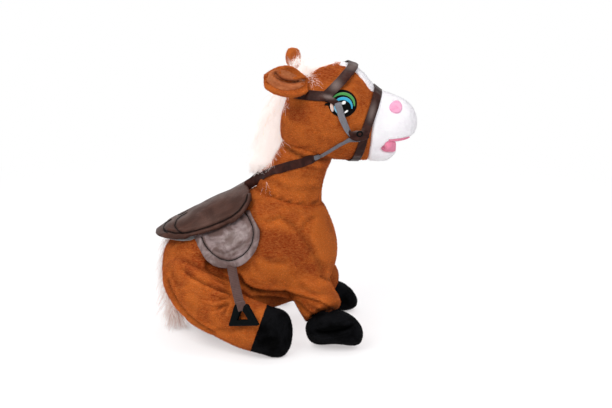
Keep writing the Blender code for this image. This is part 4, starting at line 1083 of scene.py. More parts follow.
# stuffed body, neck and legs
# fold lines that two skins share
collarSeam = [
    (265, 188), (270.5, 195), (279, 199), (291.5, 202.6), (301.4, 203.4), (312.6, 202.6), (322.4, 200.2)
]
haunchFold = [(181, 267), (193, 277), (206, 284), (220, 290), (236, 295)]
rumpFold = [(166, 276), (171, 290), (178, 303), (188, 315), (200, 325), (217, 334)]
bodyLook = {
    "voxel": 2.0 * mm, "closing": 3.5 * mm, "rounds": 7, "ripple": (0.055, 0.8 * mm, 4),
    "folds": [
        crease(
            1.7, 6.0,
            [
                (237, 279), (245, 286), (252.5, 291), (262, 292), (273, 291.6), (284.5, 292), (294, 295.6),
                (305.6, 299), (317, 303), (330, 309),
            ],
            fade=0.08, dark=0.75,
        ),
        crease(5.0, 2.4, [(243, 286), (262, 297), (284, 300)], dark=0.3),
        crease(2.0, 3.6, [(196, 254), (210, 261), (224, 267), (238, 276), (247, 286)], dark=0.42),
        crease(1.9, 3.0, [(178, 257), (190, 263), (201, 269), (214, 274), (229, 280), (240, 289)], dark=0.40),
        crease(1.8, 2.8, haunchFold, dark=0.38),
        crease(1.6, 2.8, rumpFold, dark=0.5, fade=0.1),
        crease(3.4, 1.2, [(168, 262), (172, 276), (180, 288)], dark=0.15),
        crease(3.4, 1.4, [(298.5, 230), (308.4, 244.4), (321, 265.4), (323, 276)], dark=0.22),
        crease(2.6, 1.5, [(258, 219), (268, 221), (280, 217), (292, 223), (303, 236)], dark=0.25),
        crease(2.4, 1.0, [(300, 232), (307, 222), (318, 214)], dark=0.22),
        crease(3.0, 1.0, [(262, 256), (272, 262), (288, 262)], dark=0.18),
        crease(3.0, 1.2, [(250, 208), (256, 222), (263, 240)], dark=0.2),
        crease(3.0, 1.3, [(296, 284), (312, 292), (330, 293)], dark=0.3),
        crease(2.0, 1.2, [(319, 275), (326, 279), (334, 281)], dark=0.35),
        crease(1.2, 1.3, collarSeam, fade=0.05, dark=0.45),
    ],
}
skins = {}
jointPlaces = {  # along the horse, out from its middle, up
    "hip": (-0.080, 0.032, 0.054), "knee": (-0.045, 0.051, 0.046),
    "shoulder": (0.020, 0.030, 0.059), "wrist": (0.034, 0.044, 0.039),
}
hipLook = {"splay": math.radians(28), "cover": 0.036, "swell": 1.6 * mm, "sink": 1.2 * mm}
sleeveLook = {
    "foldFrom": (294, 295.6), "foldTo": (331, 309.5), "swell": 1.6 * mm, "lip": 3.0 * mm, "lipReach": 0.012,
}


def jointPlace(name, y):
    x, out, z = jointPlaces[name]
    return (x, out * y, z)


def rootOf(node, corner, across, swellAt):
    # the root of a limb, cut by a plane, as filling for the body skin
    form = bmesh.new()
    form.from_mesh(softCopy("limbRoot", [node], 2.0 * mm, 4).data)
    bpy.data.objects.remove(bpy.data.objects["limbRoot"])
    form.normal_update()
    moved = [(v, v.normal.copy(), (v.co - corner).dot(across)) for v in form.verts]
    for v, normal, ahead in moved:
        v.co += normal * swellAt(ahead)
    everything = form.verts[:] + form.edges[:] + form.faces[:]
    bmesh.ops.bisect_plane(form, geom=everything, plane_co=corner, plane_no=across, clear_outer=True)
    bmesh.ops.holes_fill(form, edges=[e for e in form.edges if e.is_boundary])
    return form


def fuseSkin(name, node, roots, voxel, closing, rounds):
    # body and limb roots under one skin: swell, remesh and shrink close the crevices between them
    form = nodeForm(node)
    for root in roots:
        form.from_mesh(meshFrom(root, "root"))
    mesh = meshFrom(form, name)
    mesh.materials.clear()
    piece = newPiece(name, mesh)
    for reach in (closing, -closing):
        remesh(piece, voxel)
        swell(piece, reach)
        relax(piece, rounds)
    remesh(piece, voxel)
    return calm(piece, 3)


roots = []
for side, y in sides.items():
    hip = Vector(jointPlace("hip", y))
    along = Vector((math.cos(hipLook["splay"]), y * math.sin(hipLook["splay"]), 0))
    cover, thick, sink = hipLook["cover"], hipLook["swell"], hipLook["sink"]
    roots.append(rootOf(
        side + "_hind_leg", hip + along * cover, along,
        lambda ahead: thick - (thick + sink) * min(max(1 + ahead / cover, 0), 1) ** 2,
    ))
    foldA, rayA = photoRay(*sleeveLook["foldFrom"], y)
    _, rayB = photoRay(*sleeveLook["foldTo"], y)
    down = rayA.cross(rayB).normalized()
    down = down if down.z < 0 else -down
    sleeve, lip, reach = sleeveLook["swell"], sleeveLook["lip"], sleeveLook["lipReach"]
    roots.append(rootOf(
        side + "_foreleg", foldA, down,
        lambda ahead: sleeve + (lip - sleeve) * min(max(1 + ahead / reach, 0), 1),
    ))
skins["body"] = fuseSkin("body_skin", "body", roots, bodyLook["voxel"], bodyLook["closing"], bodyLook["rounds"])
pressFolds(skins["body"], bodyLook["folds"])
ripple(skins["body"], *bodyLook["ripple"])
skins["neck"] = softCopy("neck_skin", ["neck"], 2.2 * mm, 8)
collar = {
    "centre": np.array([0.0040, 0.0, 0.1402]), "lean": math.radians(14.5), "reach": 0.010, "sink": 0.0042,
    "puff": 0.0012, "clear": 0.001,
}
points, normals = readPoints(skins["neck"])
collarUp = np.array([math.sin(collar["lean"]), 0, math.cos(collar["lean"])])
above = (points - collar["centre"]) @ collarUp
share = np.clip(1 - above / collar["reach"], 0, 1.3)
sunk = collarUp * (collar["sink"] * share)[:, None]
puffed = normals * (collar["puff"] * share * (above > collar["clear"]))[:, None]
writePoints(skins["neck"], points - sunk + puffed)
pressFolds(skins["neck"], [
    crease(1.2, 0.6, collarSeam, fade=0.05, dark=0.45),
    crease(2.6, 0.6, [(281, 143), (290, 150), (303, 156.5), (316, 159), (332, 160)], dark=0.7),
    crease(3.0, 0.9, [(262, 178), (280, 186), (300, 190), (325, 187)]),
    crease(3.5, 0.6, [(270, 165), (290, 176), (318, 176)]),
    crease(2.4, 0.8, [(300, 165), (318, 170), (330, 168)]),
])
skins["head"] = softCopy("head_skin", ["head"], 2.0 * mm, 6)
pressFolds(skins["head"], [
    crease(2.0, 1.6, [(281, 141), (290, 148), (303, 154.5), (316, 157), (332, 159)], dark=0.5),
    crease(4.0, 0.8, [(330, 78), (340, 84), (352, 82)]),
    crease(6.0, -0.8, [(312, 128), (322, 124), (330, 128)]),
])
limbLook = {
    "footSeam": [(268.5, 300.0), (248.5, 356.0)],  # brown meets black on the hind foot
    "toeCentre": (0.0130, -0.100, 0.026), "toeReach": 0.044, "toePull": (-0.0100, 0.004, 0.000),
    "footBottom": (-0.0095, -0.112, 0.002), "bottomReach": 0.030, "bottomPull": (0.0, 0.010, 0.0015),
    "forePulls": [  # centre, reach, shift
        ((0.050, -0.072, 0.000), 0.034, (-0.001, 0.008, 0.0035)),
        ((0.020, -0.070, 0.000), 0.026, (0.004, 0.006, 0.003)),
    ],
    "leftForePull": ((0.060, -0.070, 0.032), 0.045, (-0.0055, 0.0, -0.0055)),
}


def cutByRays(piece, pixelA, pixelB, side, keepRight):
    # keeps one side of the plane through two rays of the photograph and closes the cut
    start, rayA = photoRay(*pixelA, side)
    start, rayB = photoRay(*pixelB, side)
    across = rayA.cross(rayB).normalized()
    if (across.x > 0) != keepRight:
        across = -across
    form = bmesh.new()
    form.from_mesh(piece.data)
    everything = form.verts[:] + form.edges[:] + form.faces[:]
    bmesh.ops.bisect_plane(form, geom=everything, plane_co=start, plane_no=across, clear_inner=True)
    bmesh.ops.holes_fill(form, edges=[e for e in form.edges if e.is_boundary])
    bmesh.ops.triangulate(form, faces=[f for f in form.faces if len(f.verts) > 4])
    return meshFrom(form, piece.name)


for side, y in sides.items():
    foot = nodeForm(side + "_hind_hoof")
    limb = fuseSkin(side + "_hind_leg_skin", side + "_hind_leg", [foot], 2.0 * mm, 2.0 * mm, 4)
    pull(limb, limbLook["toeCentre"], limbLook["toeReach"], limbLook["toePull"])
    pull(limb, limbLook["footBottom"], limbLook["bottomReach"], limbLook["bottomPull"])
    pressFolds(limb, [
        crease(1.8, 2.8, haunchFold, dark=0.4),
        crease(1.7, 2.6, [(192, 291), (204, 297), (218, 299), (231, 298)], dark=0.38),
        crease(1.9, 3.0, [(204.5, 281), (218, 288), (233, 294)]),
        crease(1.8, 3.0, [(198, 304), (206, 307.5), (214, 309), (222, 306.5), (230, 302)], dark=0.5),
        crease(1.4, 2.0, [(223, 316), (226, 309), (230, 303)], dark=0.3),
        crease(2.6, 1.2, [(214, 329), (230, 331), (246, 326)], dark=0.25),
        crease(2.0, 0.9, [(236, 326), (248, 322), (262, 318)]),
        crease(1.6, 2.8, rumpFold, dark=0.5, fade=0.1),
    ])
    ripple(limb, 0.035, 0.6 * mm, 8)
    footMesh = cutByRays(limb, *limbLook["footSeam"], y, True)
    limb.data = cutByRays(limb, *limbLook["footSeam"], y, False)
    skins[side + "_hind_leg"] = limb
    skins[side + "_hind_hoof"] = newPiece(side + "_hind_foot", footMesh)
    foot = nodeForm(side + "_fore_hoof")
    skins[side + "_foreleg"] = softCopy(side + "_foreleg_skin", [side + "_foreleg"], 2.0 * mm, 8)
    pressFolds(skins[side + "_foreleg"], [
        crease(2.0, 1.6, [(296, 300), (303, 308), (312, 314.5), (324, 319)], dark=0.45),
        crease(2.0, 1.4, [(304, 303), (318, 311), (334, 314)], dark=0.4),
    ])
    foreFoot = fuseSkin(side + "_fore_foot", side + "_fore_hoof", [foot], 1.8 * mm, 1.0 * mm, 9)
    for bulge in limbLook["forePulls"]:
        pull(foreFoot, *bulge)
    if side == "left":
        pull(foreFoot, *limbLook["leftForePull"])
    pressFolds(foreFoot, [
        crease(1.7, 3.4, [(312, 330), (322, 333), (334, 332), (346, 329), (357, 322)], dark=0.8),
    ])
    skins[side + "_fore_hoof"] = foreFoot
print("soft forms shaped")

trunkTree = surfaceOf(skins["body"], skins["neck"])
skins["head"].data.update()
headNeckTree = surfaceOf(skins["head"], skins["neck"], skins["body"])
for side, y in sides.items():
    forelegAxis, forelegTurn = (0.727 * y, -0.687, 0.0), 8.0
    bodyTree = surfaceOf(skins["body"])
    clearSwing(
        skins[side + "_fore_hoof"], jointPlace("shoulder", y), forelegAxis, forelegTurn, bodyTree, 2.4 * mm
    )

# saddle: seams, padding, stitches
seatLook = {
    "edgeSeam": [
        (247.5, 194), (245.5, 201), (239.5, 210), (232, 216), (222.8, 221), (210.2, 226), (196, 230.4),
        (186.3, 232.6), (175, 233), (162.5, 229.6),
    ],
    "cantleSeam": [(187.5, 212.5), (181, 216), (176.5, 219.8), (174.6, 226), (178.0, 230.6), (184, 234)],
    "rearSeam": [(171.5, 219.5), (166, 223), (163.4, 227), (164.2, 231), (169, 234)], "reach": 9.0,
    "roll": 2.1 * mm, "rollFade": 2.5, "rollFrom": 180, "rollReach": 20,
    "end": {"from": -0.1310, "length": 0.0140, "height": 0.1030, "narrow": 0.25, "flat": 0.22},
    "moves": [
        (247, 190, 250.3, 190.5), (243, 197, 248.8, 199.8), (238, 203.5, 243.8, 209.3),
        (230, 211, 234.8, 217.6), (218.5, 221, 221.4, 224.4), (207, 230, 207.8, 231.6),
        (196.8, 237.8, 197, 236.8), (180, 241, 180, 240.5), (166, 241, 166, 240.5),
    ],
    "thread": {"length": 2.2 * mm, "gap": 0.6 * mm, "thick": 0.8 * mm, "lift": 0.2 * mm},
}
seat = tack["saddle_seat"]
stuffCloth(seat, {"voxel": 1.8 * mm, "pressure": 4.0, "cap": 1.0 * mm, "frames": 20})
slideOn(seat, trunkTree, seatLook["moves"], seatLook["reach"])
roundEnd(seat, seatLook["end"])
calm(seat, 8)
points, normals = readPoints(seat)
places = photoPlace(points)
gap, share = toLine(places, seatLook["edgeSeam"])
seamX, seamY = np.array(seatLook["edgeSeam"][::-1]).T
below = np.interp(places[:, 0], seamX, seamY) < places[:, 1]
shown = shownToSide(normals, points)
roll = np.where(below, np.clip(gap / seatLook["rollFade"], 0, 1), 0) * shown * seatLook["roll"]
roll = roll * np.clip((places[:, 0] - seatLook["rollFrom"]) / seatLook["rollReach"], 0, 1)
writePoints(seat, points + normals * roll[:, None])
pressFolds(seat, [
    crease(1.2, 1.1, seatLook["edgeSeam"], fade=0.02, dark=0.6),
    crease(1.3, 0.35, seatLook["cantleSeam"], fade=0.12, dark=0.6),
    crease(1.2, 0.25, seatLook["rearSeam"], fade=0.12, dark=0.6),
    crease(5.0, 0.7, [(200, 216), (214, 211), (228, 202)]),
])
ripple(seat, 0.030, 0.35 * mm, 31)
seatTree = surfaceOf(seat)
padLook = {
    "size": [0.93, 0.87, 1.0], "shift": [0.004, 0.0, 0.0006],
    "rearFrom": -0.085, "rearReach": 0.03, "rearRise": 0.0022,
}
points, normals = readPoints(tack["saddle_pad"])
padMiddle = points.mean(axis=0)
points = padMiddle + (points - padMiddle) * np.array(padLook["size"]) + np.array(padLook["shift"])
points[:, 2] += np.clip((padLook["rearFrom"] - points[:, 0]) / padLook["rearReach"], 0, 1) * padLook["rearRise"]
writePoints(tack["saddle_pad"], points)

flapLook = {
    "seam": [
        (242.0, 208.5), (248.2, 217), (252.4, 226), (253.6, 234), (252.0, 243), (248, 250), (242.4, 255.6),
        (235.4, 259.6), (228.4, 261), (220, 258.8), (213, 254), (206.6, 247.5), (203.1, 241.4), (201, 235.5),
    ],
    "moves": [
        (226, 272, 227, 268.4), (256.5, 240, 259.5, 235), (251, 255, 252.5, 251.5), (193, 241, 194.0, 234.5),
        (204, 262, 205, 258.5),
    ],
    "puff": 2.6 * mm, "puffReach": 5.5, "topLine": [(193, 236.5), (247.5, 206)], "topReach": 27.0,
    "topFrom": (224, 233), "topTo": (216, 213), "reach": 14.0, "puffFrom": 12, "corner": (200, 234),
    "cornerReach": 0.012, "cornerLift": 2.6, "tuckDepth": 1.2 * mm, "tuckReach": 7, "seamDepth": 0.9 * mm,
    "seamWidth": 1.1, "thread": {"length": 2.2 * mm, "gap": 0.5 * mm, "thick": 0.85 * mm, "lift": 0.2 * mm},
}
stirrupLook = {
    "thicken": 1.3 * mm, "turn": math.radians(-14), "size": [0.98, 1.0, 0.86],
    "left": 228.5, "top": 304.5, "inward": 0.0014, "loop": [(239.5, 306), (243.5, 306)],
}
leatherLook = {
    "moves": [(231, 273, 229.6, 264.5)], "reach": 9.0, "top": (229.8, 263.5), "belowFlap": 4.2, "bend": 16 * mm,
    "foldOut": 0.4, "foldTurn": math.radians(-13), "foldSize": (8.6 * mm, 1.8 * mm, 9.5 * mm),
    "foldEdge": 0.6 * mm,
}
for side, y in sides.items():
    flap = tack[side + "_saddle_flap"]
    slideOn(flap, trunkTree, flapLook["moves"], flapLook["reach"])
    points, normals = readPoints(flap)
    places = photoPlace(points)
    topBefore, _ = onSurface(trunkTree, *flapLook["topFrom"], y)
    topAfter, _ = onSurface(trunkTree, *flapLook["topTo"], y)
    climb = np.array(topAfter - topBefore)
    (ax, ay), (bx, by) = flapLook["topLine"]
    across = np.array([-(by - ay), bx - ax])
    across = across / np.linalg.norm(across)
    beneath = (places - np.array([ax, ay])) @ across
    share = np.clip(1 - beneath / flapLook["topReach"], 0, 1) ** 1.5
    points = points + climb * share[:, None]
    writePoints(flap, points)
    place, normal = onSurface(trunkTree, *flapLook["corner"], -1.0)
    pull(flap, place, flapLook["cornerReach"], normal * flapLook["cornerLift"] * mm)
    points, normals = readPoints(flap)
    places = photoPlace(points)
    within = insideOutline(places, flapLook["seam"])
    seamGap, _ = toLine(places, flapLook["seam"])
    shown = shownToSide(normals, points)
    beneath = (places - np.array([ax, ay])) @ across
    puff = np.where(within, 1 - np.exp(-seamGap / flapLook["puffReach"]), 0) * flapLook["puff"]
    tuck = flapLook["tuckDepth"] * np.clip(1 - beneath / flapLook["tuckReach"], 0, 1)
    puff = puff * np.clip(beneath / flapLook["puffFrom"], 0, 1) - tuck
    puff -= flapLook["seamDepth"] * np.exp(-((seamGap / flapLook["seamWidth"]) ** 2))
    wrinkle = waver(points * np.array([1.0, 1.0, 1.6]), 0.016, 41) * 0.22 * mm
    wrinkle = wrinkle + waver(points, 0.006, 42) * 0.08 * mm
    writePoints(flap, points + normals * ((puff + wrinkle) * shown)[:, None])
    pressFolds(flap, [
        crease(1.2, 0.0, flapLook["seam"], dark=0.6, fade=0.02),
        crease(1.6, 0.9, [(212, 250), (224, 254), (238, 248), (247, 240)]),
        crease(1.8, 0.6, [(206, 236), (216, 243), (228, 240)]),
        crease(1.6, 0.5, [(232, 222), (240, 228), (247, 228)]),
        crease(2.2, -0.5, [(218, 228), (226, 233), (236, 231)]),
    ])
    sewLine(
        side + "_flap_stitches", y, flapLook["seam"], surfaceOf(flap), flapLook["thread"], side + "_flap",
    )
    for name in ("edgeSeam", "cantleSeam", "rearSeam"):
        sewLine(
            side + "_seat_" + name, y, seatLook[name], seatTree, seatLook["thread"], "torso"
        )
    leather = tack[side + "_stirrup_leather"]
    slideOn(leather, trunkTree, leatherLook["moves"], leatherLook["reach"])
    points, normals = readPoints(leather)
    place, normal = onSurface(surfaceOf(flap), *leatherLook["top"], y)
    top = points[points[:, 2] > points[:, 2].max() - 2 * mm].mean(axis=0)
    share = np.clip((points[:, 2] - top[2]) / leatherLook["bend"] + 1, 0, 1) ** 1.5
    goal = np.array(place - normal * leatherLook["belowFlap"] * mm)
    writePoints(leather, points + share[:, None] * (goal - top))
    stirrup = tack[side + "_stirrup"]
    swell(stirrup, stirrupLook["thicken"])
    settle(stirrup)
    points, normals = readPoints(stirrup)
    middle = points.mean(axis=0)
    turn = np.array(Matrix.Rotation(stirrupLook["turn"], 3, "Y"))
    points = (points - middle) @ turn.T * np.array(stirrupLook["size"]) + middle
    places = photoPlace(points)
    points[:, 0] += (stirrupLook["left"] - places[:, 0].min()) * mm
    points[:, 2] -= (stirrupLook["top"] - places[:, 1].min()) * mm / tiltCos
    points[:, 1] -= y * stirrupLook["inward"]
    writePoints(stirrup, points)
    form = bmesh.new()
    bar = np.array([onSurface(surfaceOf(stirrup), px, py, y)[0] for px, py in stirrupLook["loop"]]).mean(axis=0)
    shape = (
        Matrix.Translation(Vector(bar) + Vector((0, y * leatherLook["foldOut"] * mm, 0)))
        @ Matrix.Rotation(leatherLook["foldTurn"], 4, "Y") @ Matrix.Diagonal((*leatherLook["foldSize"], 1.0))
    )
    bmesh.ops.create_cube(form, size=1.0, matrix=shape)
    bmesh.ops.bevel(
        form, geom=form.edges[:], offset=leatherLook["foldEdge"], segments=2, affect="EDGES", profile=0.5
    )
    leatherFold = newPiece(side + "_leather_fold", meshFrom(form, side + "_leather_fold"))
    dress(leatherFold, webbingTaupe, side + "_leather", ())
print("saddle sewn")

# cheek straps and reins
strapLook = {
    "temple": {
        "line": [(321, 96.3), (327, 98), (333, 101), (338.5, 104.5)], "width": 8 * mm, "thick": 0.9 * mm,
        "shares": [0, 0.5, 1], "lift": [2.4 * mm, 3.4 * mm, 3.0 * mm], "wide": [1, 0.8, 0.75],
        "twist": [0, 24, 6],
    },
    "cheek": {
        "line": [(337.5, 102.5), (339.2, 108), (341, 115), (343.8, 122), (347, 129), (351, 134)],
        "width": 6.6 * mm, "thick": 0.9 * mm, "shares": [0, 0.5, 0.8, 1],
        "lift": [3.4 * mm, 3.0 * mm, 2.0 * mm, 1.6 * mm], "wide": [1, 1, 0.95, 0.8], "twist": [0, -6, -25, -50],
    },
    "join": {
        "line": [(347.5, 130.0), (350.5, 134), (356, 136.4), (362, 136.0), (367.5, 133.6)], "width": 5.6 * mm,
        "thick": 0.9 * mm, "shares": [0, 0.5, 1], "lift": [1.8 * mm, 4.6 * mm, 4.0 * mm],
        "wide": [0.9, 1.1, 0.9], "twist": [-30, 10, 0],
    },
    "loop": {
        "line": [(349.5, 132.5), (355, 131.2), (361, 131.4), (367.5, 132.8)], "width": 5.0 * mm,
        "thick": 0.9 * mm, "shares": [0, 0.5, 1], "lift": [2.2 * mm, 4.4 * mm, 4.2 * mm], "wide": [0.8, 1, 0.9],
        "twist": [20, -15, 0],
    },
    "reinFront": {
        "line": [(360, 137.5), (349, 138.0), (340, 142.6), (330, 148.6), (319, 155.2), (313, 158.0)],
        "width": 8.5 * mm, "thick": 1.1 * mm, "shares": [0, 0.15, 0.3, 0.8, 1],
        "lift": [2.0 * mm, 2.4 * mm, 2.8 * mm, 2.4 * mm, 1.0 * mm], "wide": [0.7, 0.55, 0.34, 0.34, 0.6],
        "twist": [0, 15, 30, 30, 0],
    },
    "reinRear": {
        "line": [(319, 155.4), (313, 158.0), (305, 161.0), (290, 165.3), (275, 170.0), (266, 174.0)],
        "beyond": [(259, 177.8, 0.007), (253, 181.6, 0.0025), (246, 186.0, 0.0016)], "width": 9 * mm,
        "thick": 1.1 * mm, "shares": [0, 0.12, 0.6, 0.8, 1],
        "lift": [0.9 * mm, 1.3 * mm, 1.6 * mm, 1.4 * mm, 0.2 * mm], "wide": [0.45, 1, 1, 1.0, 1.0],
        "twist": [10, 0, 0, 0, 0],
    },
}
for side, y in sides.items():
    cheek = layStrap(side + "_cheek_backing", y, strapLook["cheek"], backingGrey, headNeckTree)
    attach(cheek, "head")
    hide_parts(side + "_cheek_strap")
    for name in ("temple", "join", "loop"):
        strap = layStrap("%s_%s_strap" % (side, name), y, strapLook[name], leatherStrap, headNeckTree)
        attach(strap, "head")
        # painted highlights where the strap bends
        paintHighlights(strap)
    # the rein's front takes the darker copy of the backing: painted shade
    front = layStrap(side + "_rein_front", y, strapLook["reinFront"], backingShaded, headNeckTree)
    rear = layStrap(side + "_rein_rear", y, strapLook["reinRear"], leatherStrap, headNeckTree)
    tack[side + "_rein_front"] = front
    tack[side + "_rein_rear"] = rear
    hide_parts(side + "_rein")
print("straps laid")

nosebandLook = {"moves": [(351, 157, 354.8, 157), (356, 145, 358.5, 145)], "reach": 11.0}
slideOn(tack["noseband"], headNeckTree, nosebandLook["moves"], nosebandLook["reach"])
keepOff = joinedCopy("tackShadow", [piece for node, piece in tack.items() if "stirrup" not in node])

pileLook = {
    "body": {"length": 1.9, "width": 0.34, "density": 0.62, "seed": 1},
    "neck": {"length": 1.8, "width": 0.32, "density": 0.80, "seed": 2},
    "head": {"length": 1.7, "width": 0.30, "density": 1.05, "seed": 3},
    "hind_leg": {"length": 1.9, "width": 0.32, "density": 0.85, "seed": 4},
    "foreleg": {"length": 1.8, "width": 0.30, "density": 0.95, "seed": 5},
    "hoof": {"length": 1.6, "width": 0.30, "density": 0.95, "seed": 6},
    "face": {"length": 2.0, "width": 0.26, "density": 1.5, "seed": 7},
    "ear": {"length": 1.6, "width": 0.26, "density": 1.4, "seed": 8},
    "lining": {"length": 0.8, "width": 0.24, "density": 1.6, "seed": 9},
}
for look in pileLook.values():
    look.update({
        "length": look["length"] * mm, "width": look["width"] * mm, "rise": 0.62, "stray": 0.35,
        "shortest": 0.6, "clear": 1.1 * mm,
    })


def pileOn(node, name, kind, flow, finish, body, swirl=0.7):
    # body is one name to attach to; a tuple of two names and two points leaves the piece unattached, its
    # contents unused
    piece = skins[node]
    combSkin(piece, flow, swirl, 0.030, pileLook[kind]["seed"])
    growPile(piece, pileLook[kind], keepOff)
    dress(piece, finish, body if isinstance(body, str) else "", [node])
    if not isinstance(body, str):
        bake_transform(piece)
    piece.name = name
    print(name, len(piece.data.polygons))


pileOn("body", "velboa_body", "body", (-1.0, 0.0, -0.45), velboaBrown, "torso")
pileOn("neck", "velboa_neck", "neck", (-0.35, 0.0, -1.0), velboaBrown, "neck")
for side, y in sides.items():
    for limb, way, start, end in (
        ("hind_leg", (0.6, 0.0, -1.0), "hip", "knee"), ("foreleg", (0.3, 0.0, -1.0), "shoulder", "wrist")
    ):
        bend = ("torso", "%s_%s" % (side, limb), jointPlace(start, y), jointPlace(end, y))
        pileOn(
            "%s_%s" % (side, limb), "%s_velboa_%s" % (side, limb), limb, way, velboaBrown, bend
        )
    for hoof, foot, limb, way in (
        ("hind_hoof", "hind_foot", "hind_leg", (0.6, 0.0, -1.0)),
        ("fore_hoof", "fore_foot", "foreleg", (0.9, 0.0, -0.6))
    ):
        name, body = "%s_velboa_%s" % (side, foot), "%s_%s" % (side, limb)
        pileOn("%s_%s" % (side, hoof), name, "hoof", way, velboaBlack, body)
print("legs and feet piled")

# face
muzzleLook = {
    "tip": (0.1130, -0.010, 0.1830), "tipReach": 0.020, "tipPull": (-0.0040, 0.0, -0.0005),
    "lip": (389, 139.5), "lipReach": 0.012, "lipPull": (0.0, 0.0, 0.0045),
}
skins["blaze"] = softCopy("blaze_skin", ["blaze"], 1.0 * mm, 3)
skins["muzzle"] = fuseSkin("muzzle_skin", "muzzle", [nodeForm("lower_jaw")], 1.4 * mm, 1.9 * mm, 4)
pull(skins["muzzle"], muzzleLook["tip"], muzzleLook["tipReach"], muzzleLook["tipPull"])
lipPlace, _ = onSurface(surfaceOf(skins["muzzle"]), *muzzleLook["lip"], -1.0)
pull(skins["muzzle"], lipPlace, muzzleLook["lipReach"], muzzleLook["lipPull"])
faceTree = surfaceOf(skins["head"], skins["muzzle"], skins["blaze"])


def layPatch(name, side, outline, lift, depth, finish, rings=7, tree=None):
    # a flat sewn patch: rings between its middle and its outline, laid on the face and given a wall
    middle = Vector((sum(p[0] for p in outline) / len(outline), sum(p[1] for p in outline) / len(outline)))
    form = bmesh.new()
    for k in range(1, rings + 1):
        ring = bmesh.ops.create_circle(form, cap_ends=False, segments=len(outline), radius=1.0)["verts"]
        for v, p in zip(ring, outline):
            spot = middle.lerp(Vector(p), k / rings)
            place, normal = onSurface(tree or faceTree, spot.x, spot.y, side)
            edge = min(1.0, (rings - k) / 1.5)
            v.co = place + normal * (lift + depth * (0.35 + 0.65 * edge))
    form.verts.ensure_lookup_table()
    count = len(outline)
    for k in range(rings - 1):
        inner = form.verts[k * count : (k + 1) * count]
        outer = form.verts[(k + 1) * count : (k + 2) * count]
        edges = [e for e in form.edges if all(v in inner for v in e.verts) or all(v in outer for v in e.verts)]
        bmesh.ops.bridge_loops(form, edges=edges)
        form.verts.ensure_lookup_table()
    inner = form.verts[0:count]
    bmesh.ops.contextual_create(form, geom=[e for e in form.edges if all(v in inner for v in e.verts)])
    rim = form.verts[(rings - 1) * count : rings * count]
    rimEdges = [e for e in form.edges if all(v in rim for v in e.verts) and e.is_boundary]
    wall = bmesh.ops.extrude_edge_only(form, edges=rimEdges)["geom"]
    for v in wall:
        if isinstance(v, bmesh.types.BMVert):
            near, normal, _, _ = (tree or faceTree).find_nearest(v.co)
            v.co = near - normal * 0.4 * mm
    bmesh.ops.contextual_create(form, geom=[e for e in form.edges if e.is_boundary])
    bmesh.ops.recalc_face_normals(form, faces=form.faces)
    bmesh.ops.triangulate(form, faces=[f for f in form.faces if len(f.verts) > 4])
    return dress(newPiece(name, meshFrom(form, name)), finish, "head")


def oval(cx, cy, rx, ry, lean=0.0, egg=0.0, count=28):
    points = []
    for k in range(count):
        a = 2 * math.pi * k / count
        x = rx * math.cos(a) * (1 + egg * math.sin(a))
        y = ry * math.sin(a)
        points.append(
            (cx + x * math.cos(lean) - y * math.sin(lean), cy + x * math.sin(lean) + y * math.cos(lean))
        )
    return points


def arcBand(cx, cy, rx, ry, width, fromDeg, toDeg, count=16):
    # a crescent, widest at its middle; angles run clockwise in the photograph from three o'clock
    outer, inner = [], []
    for k in range(count + 1):
        t = k / count
        a = math.radians(fromDeg + (toDeg - fromDeg) * t)
        w = width * math.sin(math.pi * min(max(t * 0.9 + 0.05, 0), 1)) ** 0.6
        outer.append((cx + rx * math.cos(a), cy + ry * math.sin(a)))
        inner.append((cx + (rx - w) * math.cos(a), cy + (ry - w) * math.sin(a)))
    return outer + inner[::-1]


def layStrip(name, side, outline, lift, finish, tree=None):
    # a band of embroidery between an outer and an inner line
    half = len(outline) // 2
    outer, inner = outline[:half], outline[half:][::-1]
    form = bmesh.new()
    bmesh.ops.create_grid(form, x_segments=half - 1, y_segments=4, size=1.0)
    for v in form.verts:
        k = round((v.co.x + 1) / 2 * (half - 1))
        t = (v.co.y + 1) / 2
        a, b = Vector(outer[k]), Vector(inner[k])
        spot = a.lerp(b, t)
        crown = 1 - abs(2 * t - 1) ** 2
        place, normal = onSurface(tree or faceTree, spot.x, spot.y, side)
        v.co = place + normal * (lift + 0.25 * mm * crown)
    bmesh.ops.recalc_face_normals(form, faces=form.faces)
    piece = newPiece(name, meshFrom(form, name))
    wall = piece.modifiers.new("wall", "SOLIDIFY")
    wall.thickness = 0.35 * mm
    wall.offset = 0.0
    settle(piece)
    return dress(piece, finish, "head")


eyeLook = {
    "base": oval(342.5, 103.6, 14.3, 13.6, math.radians(12), 0.0, 40),
    "green": arcBand(342.8, 103.8, 11.9, 11.3, 2.9, 208, 372),
    "cyan": arcBand(343.0, 106.4, 9.4, 9.2, 3.2, 186, 376),
    "iceBlue": arcBand(341.6, 106.6, 7.6, 8.2, 2.0, 104, 196),
    "blush": oval(332.0, 107.4, 1.7, 4.4, math.radians(-10), 0.0, 20),
    "pupil": oval(347.4, 107.4, 5.4, 6.6, math.radians(10), 0.0, 30),
    "spark": oval(343.5, 102.9, 2.3, 1.5, math.radians(-25), 0.0, 18),
    "glint": oval(346.0, 111.6, 2.3, 0.95, math.radians(-38), 0.0, 16),
    "lashes": [
        [(330.5, 101.0), (326.0, 99.2), (323.8, 101.0), (326.0, 102.2), (330.0, 103.4)],
        [(330.0, 103.2), (325.6, 103.0), (324.2, 105.4), (327.0, 105.4), (329.6, 105.8)],
        [(332.0, 98.4), (328.6, 96.0), (325.8, 97.0), (328.0, 98.8), (330.6, 100.6)],
    ],
    "nostril": oval(395.8, 107.2, 6.3, 6.2, math.radians(24), 0.14, 30),
}
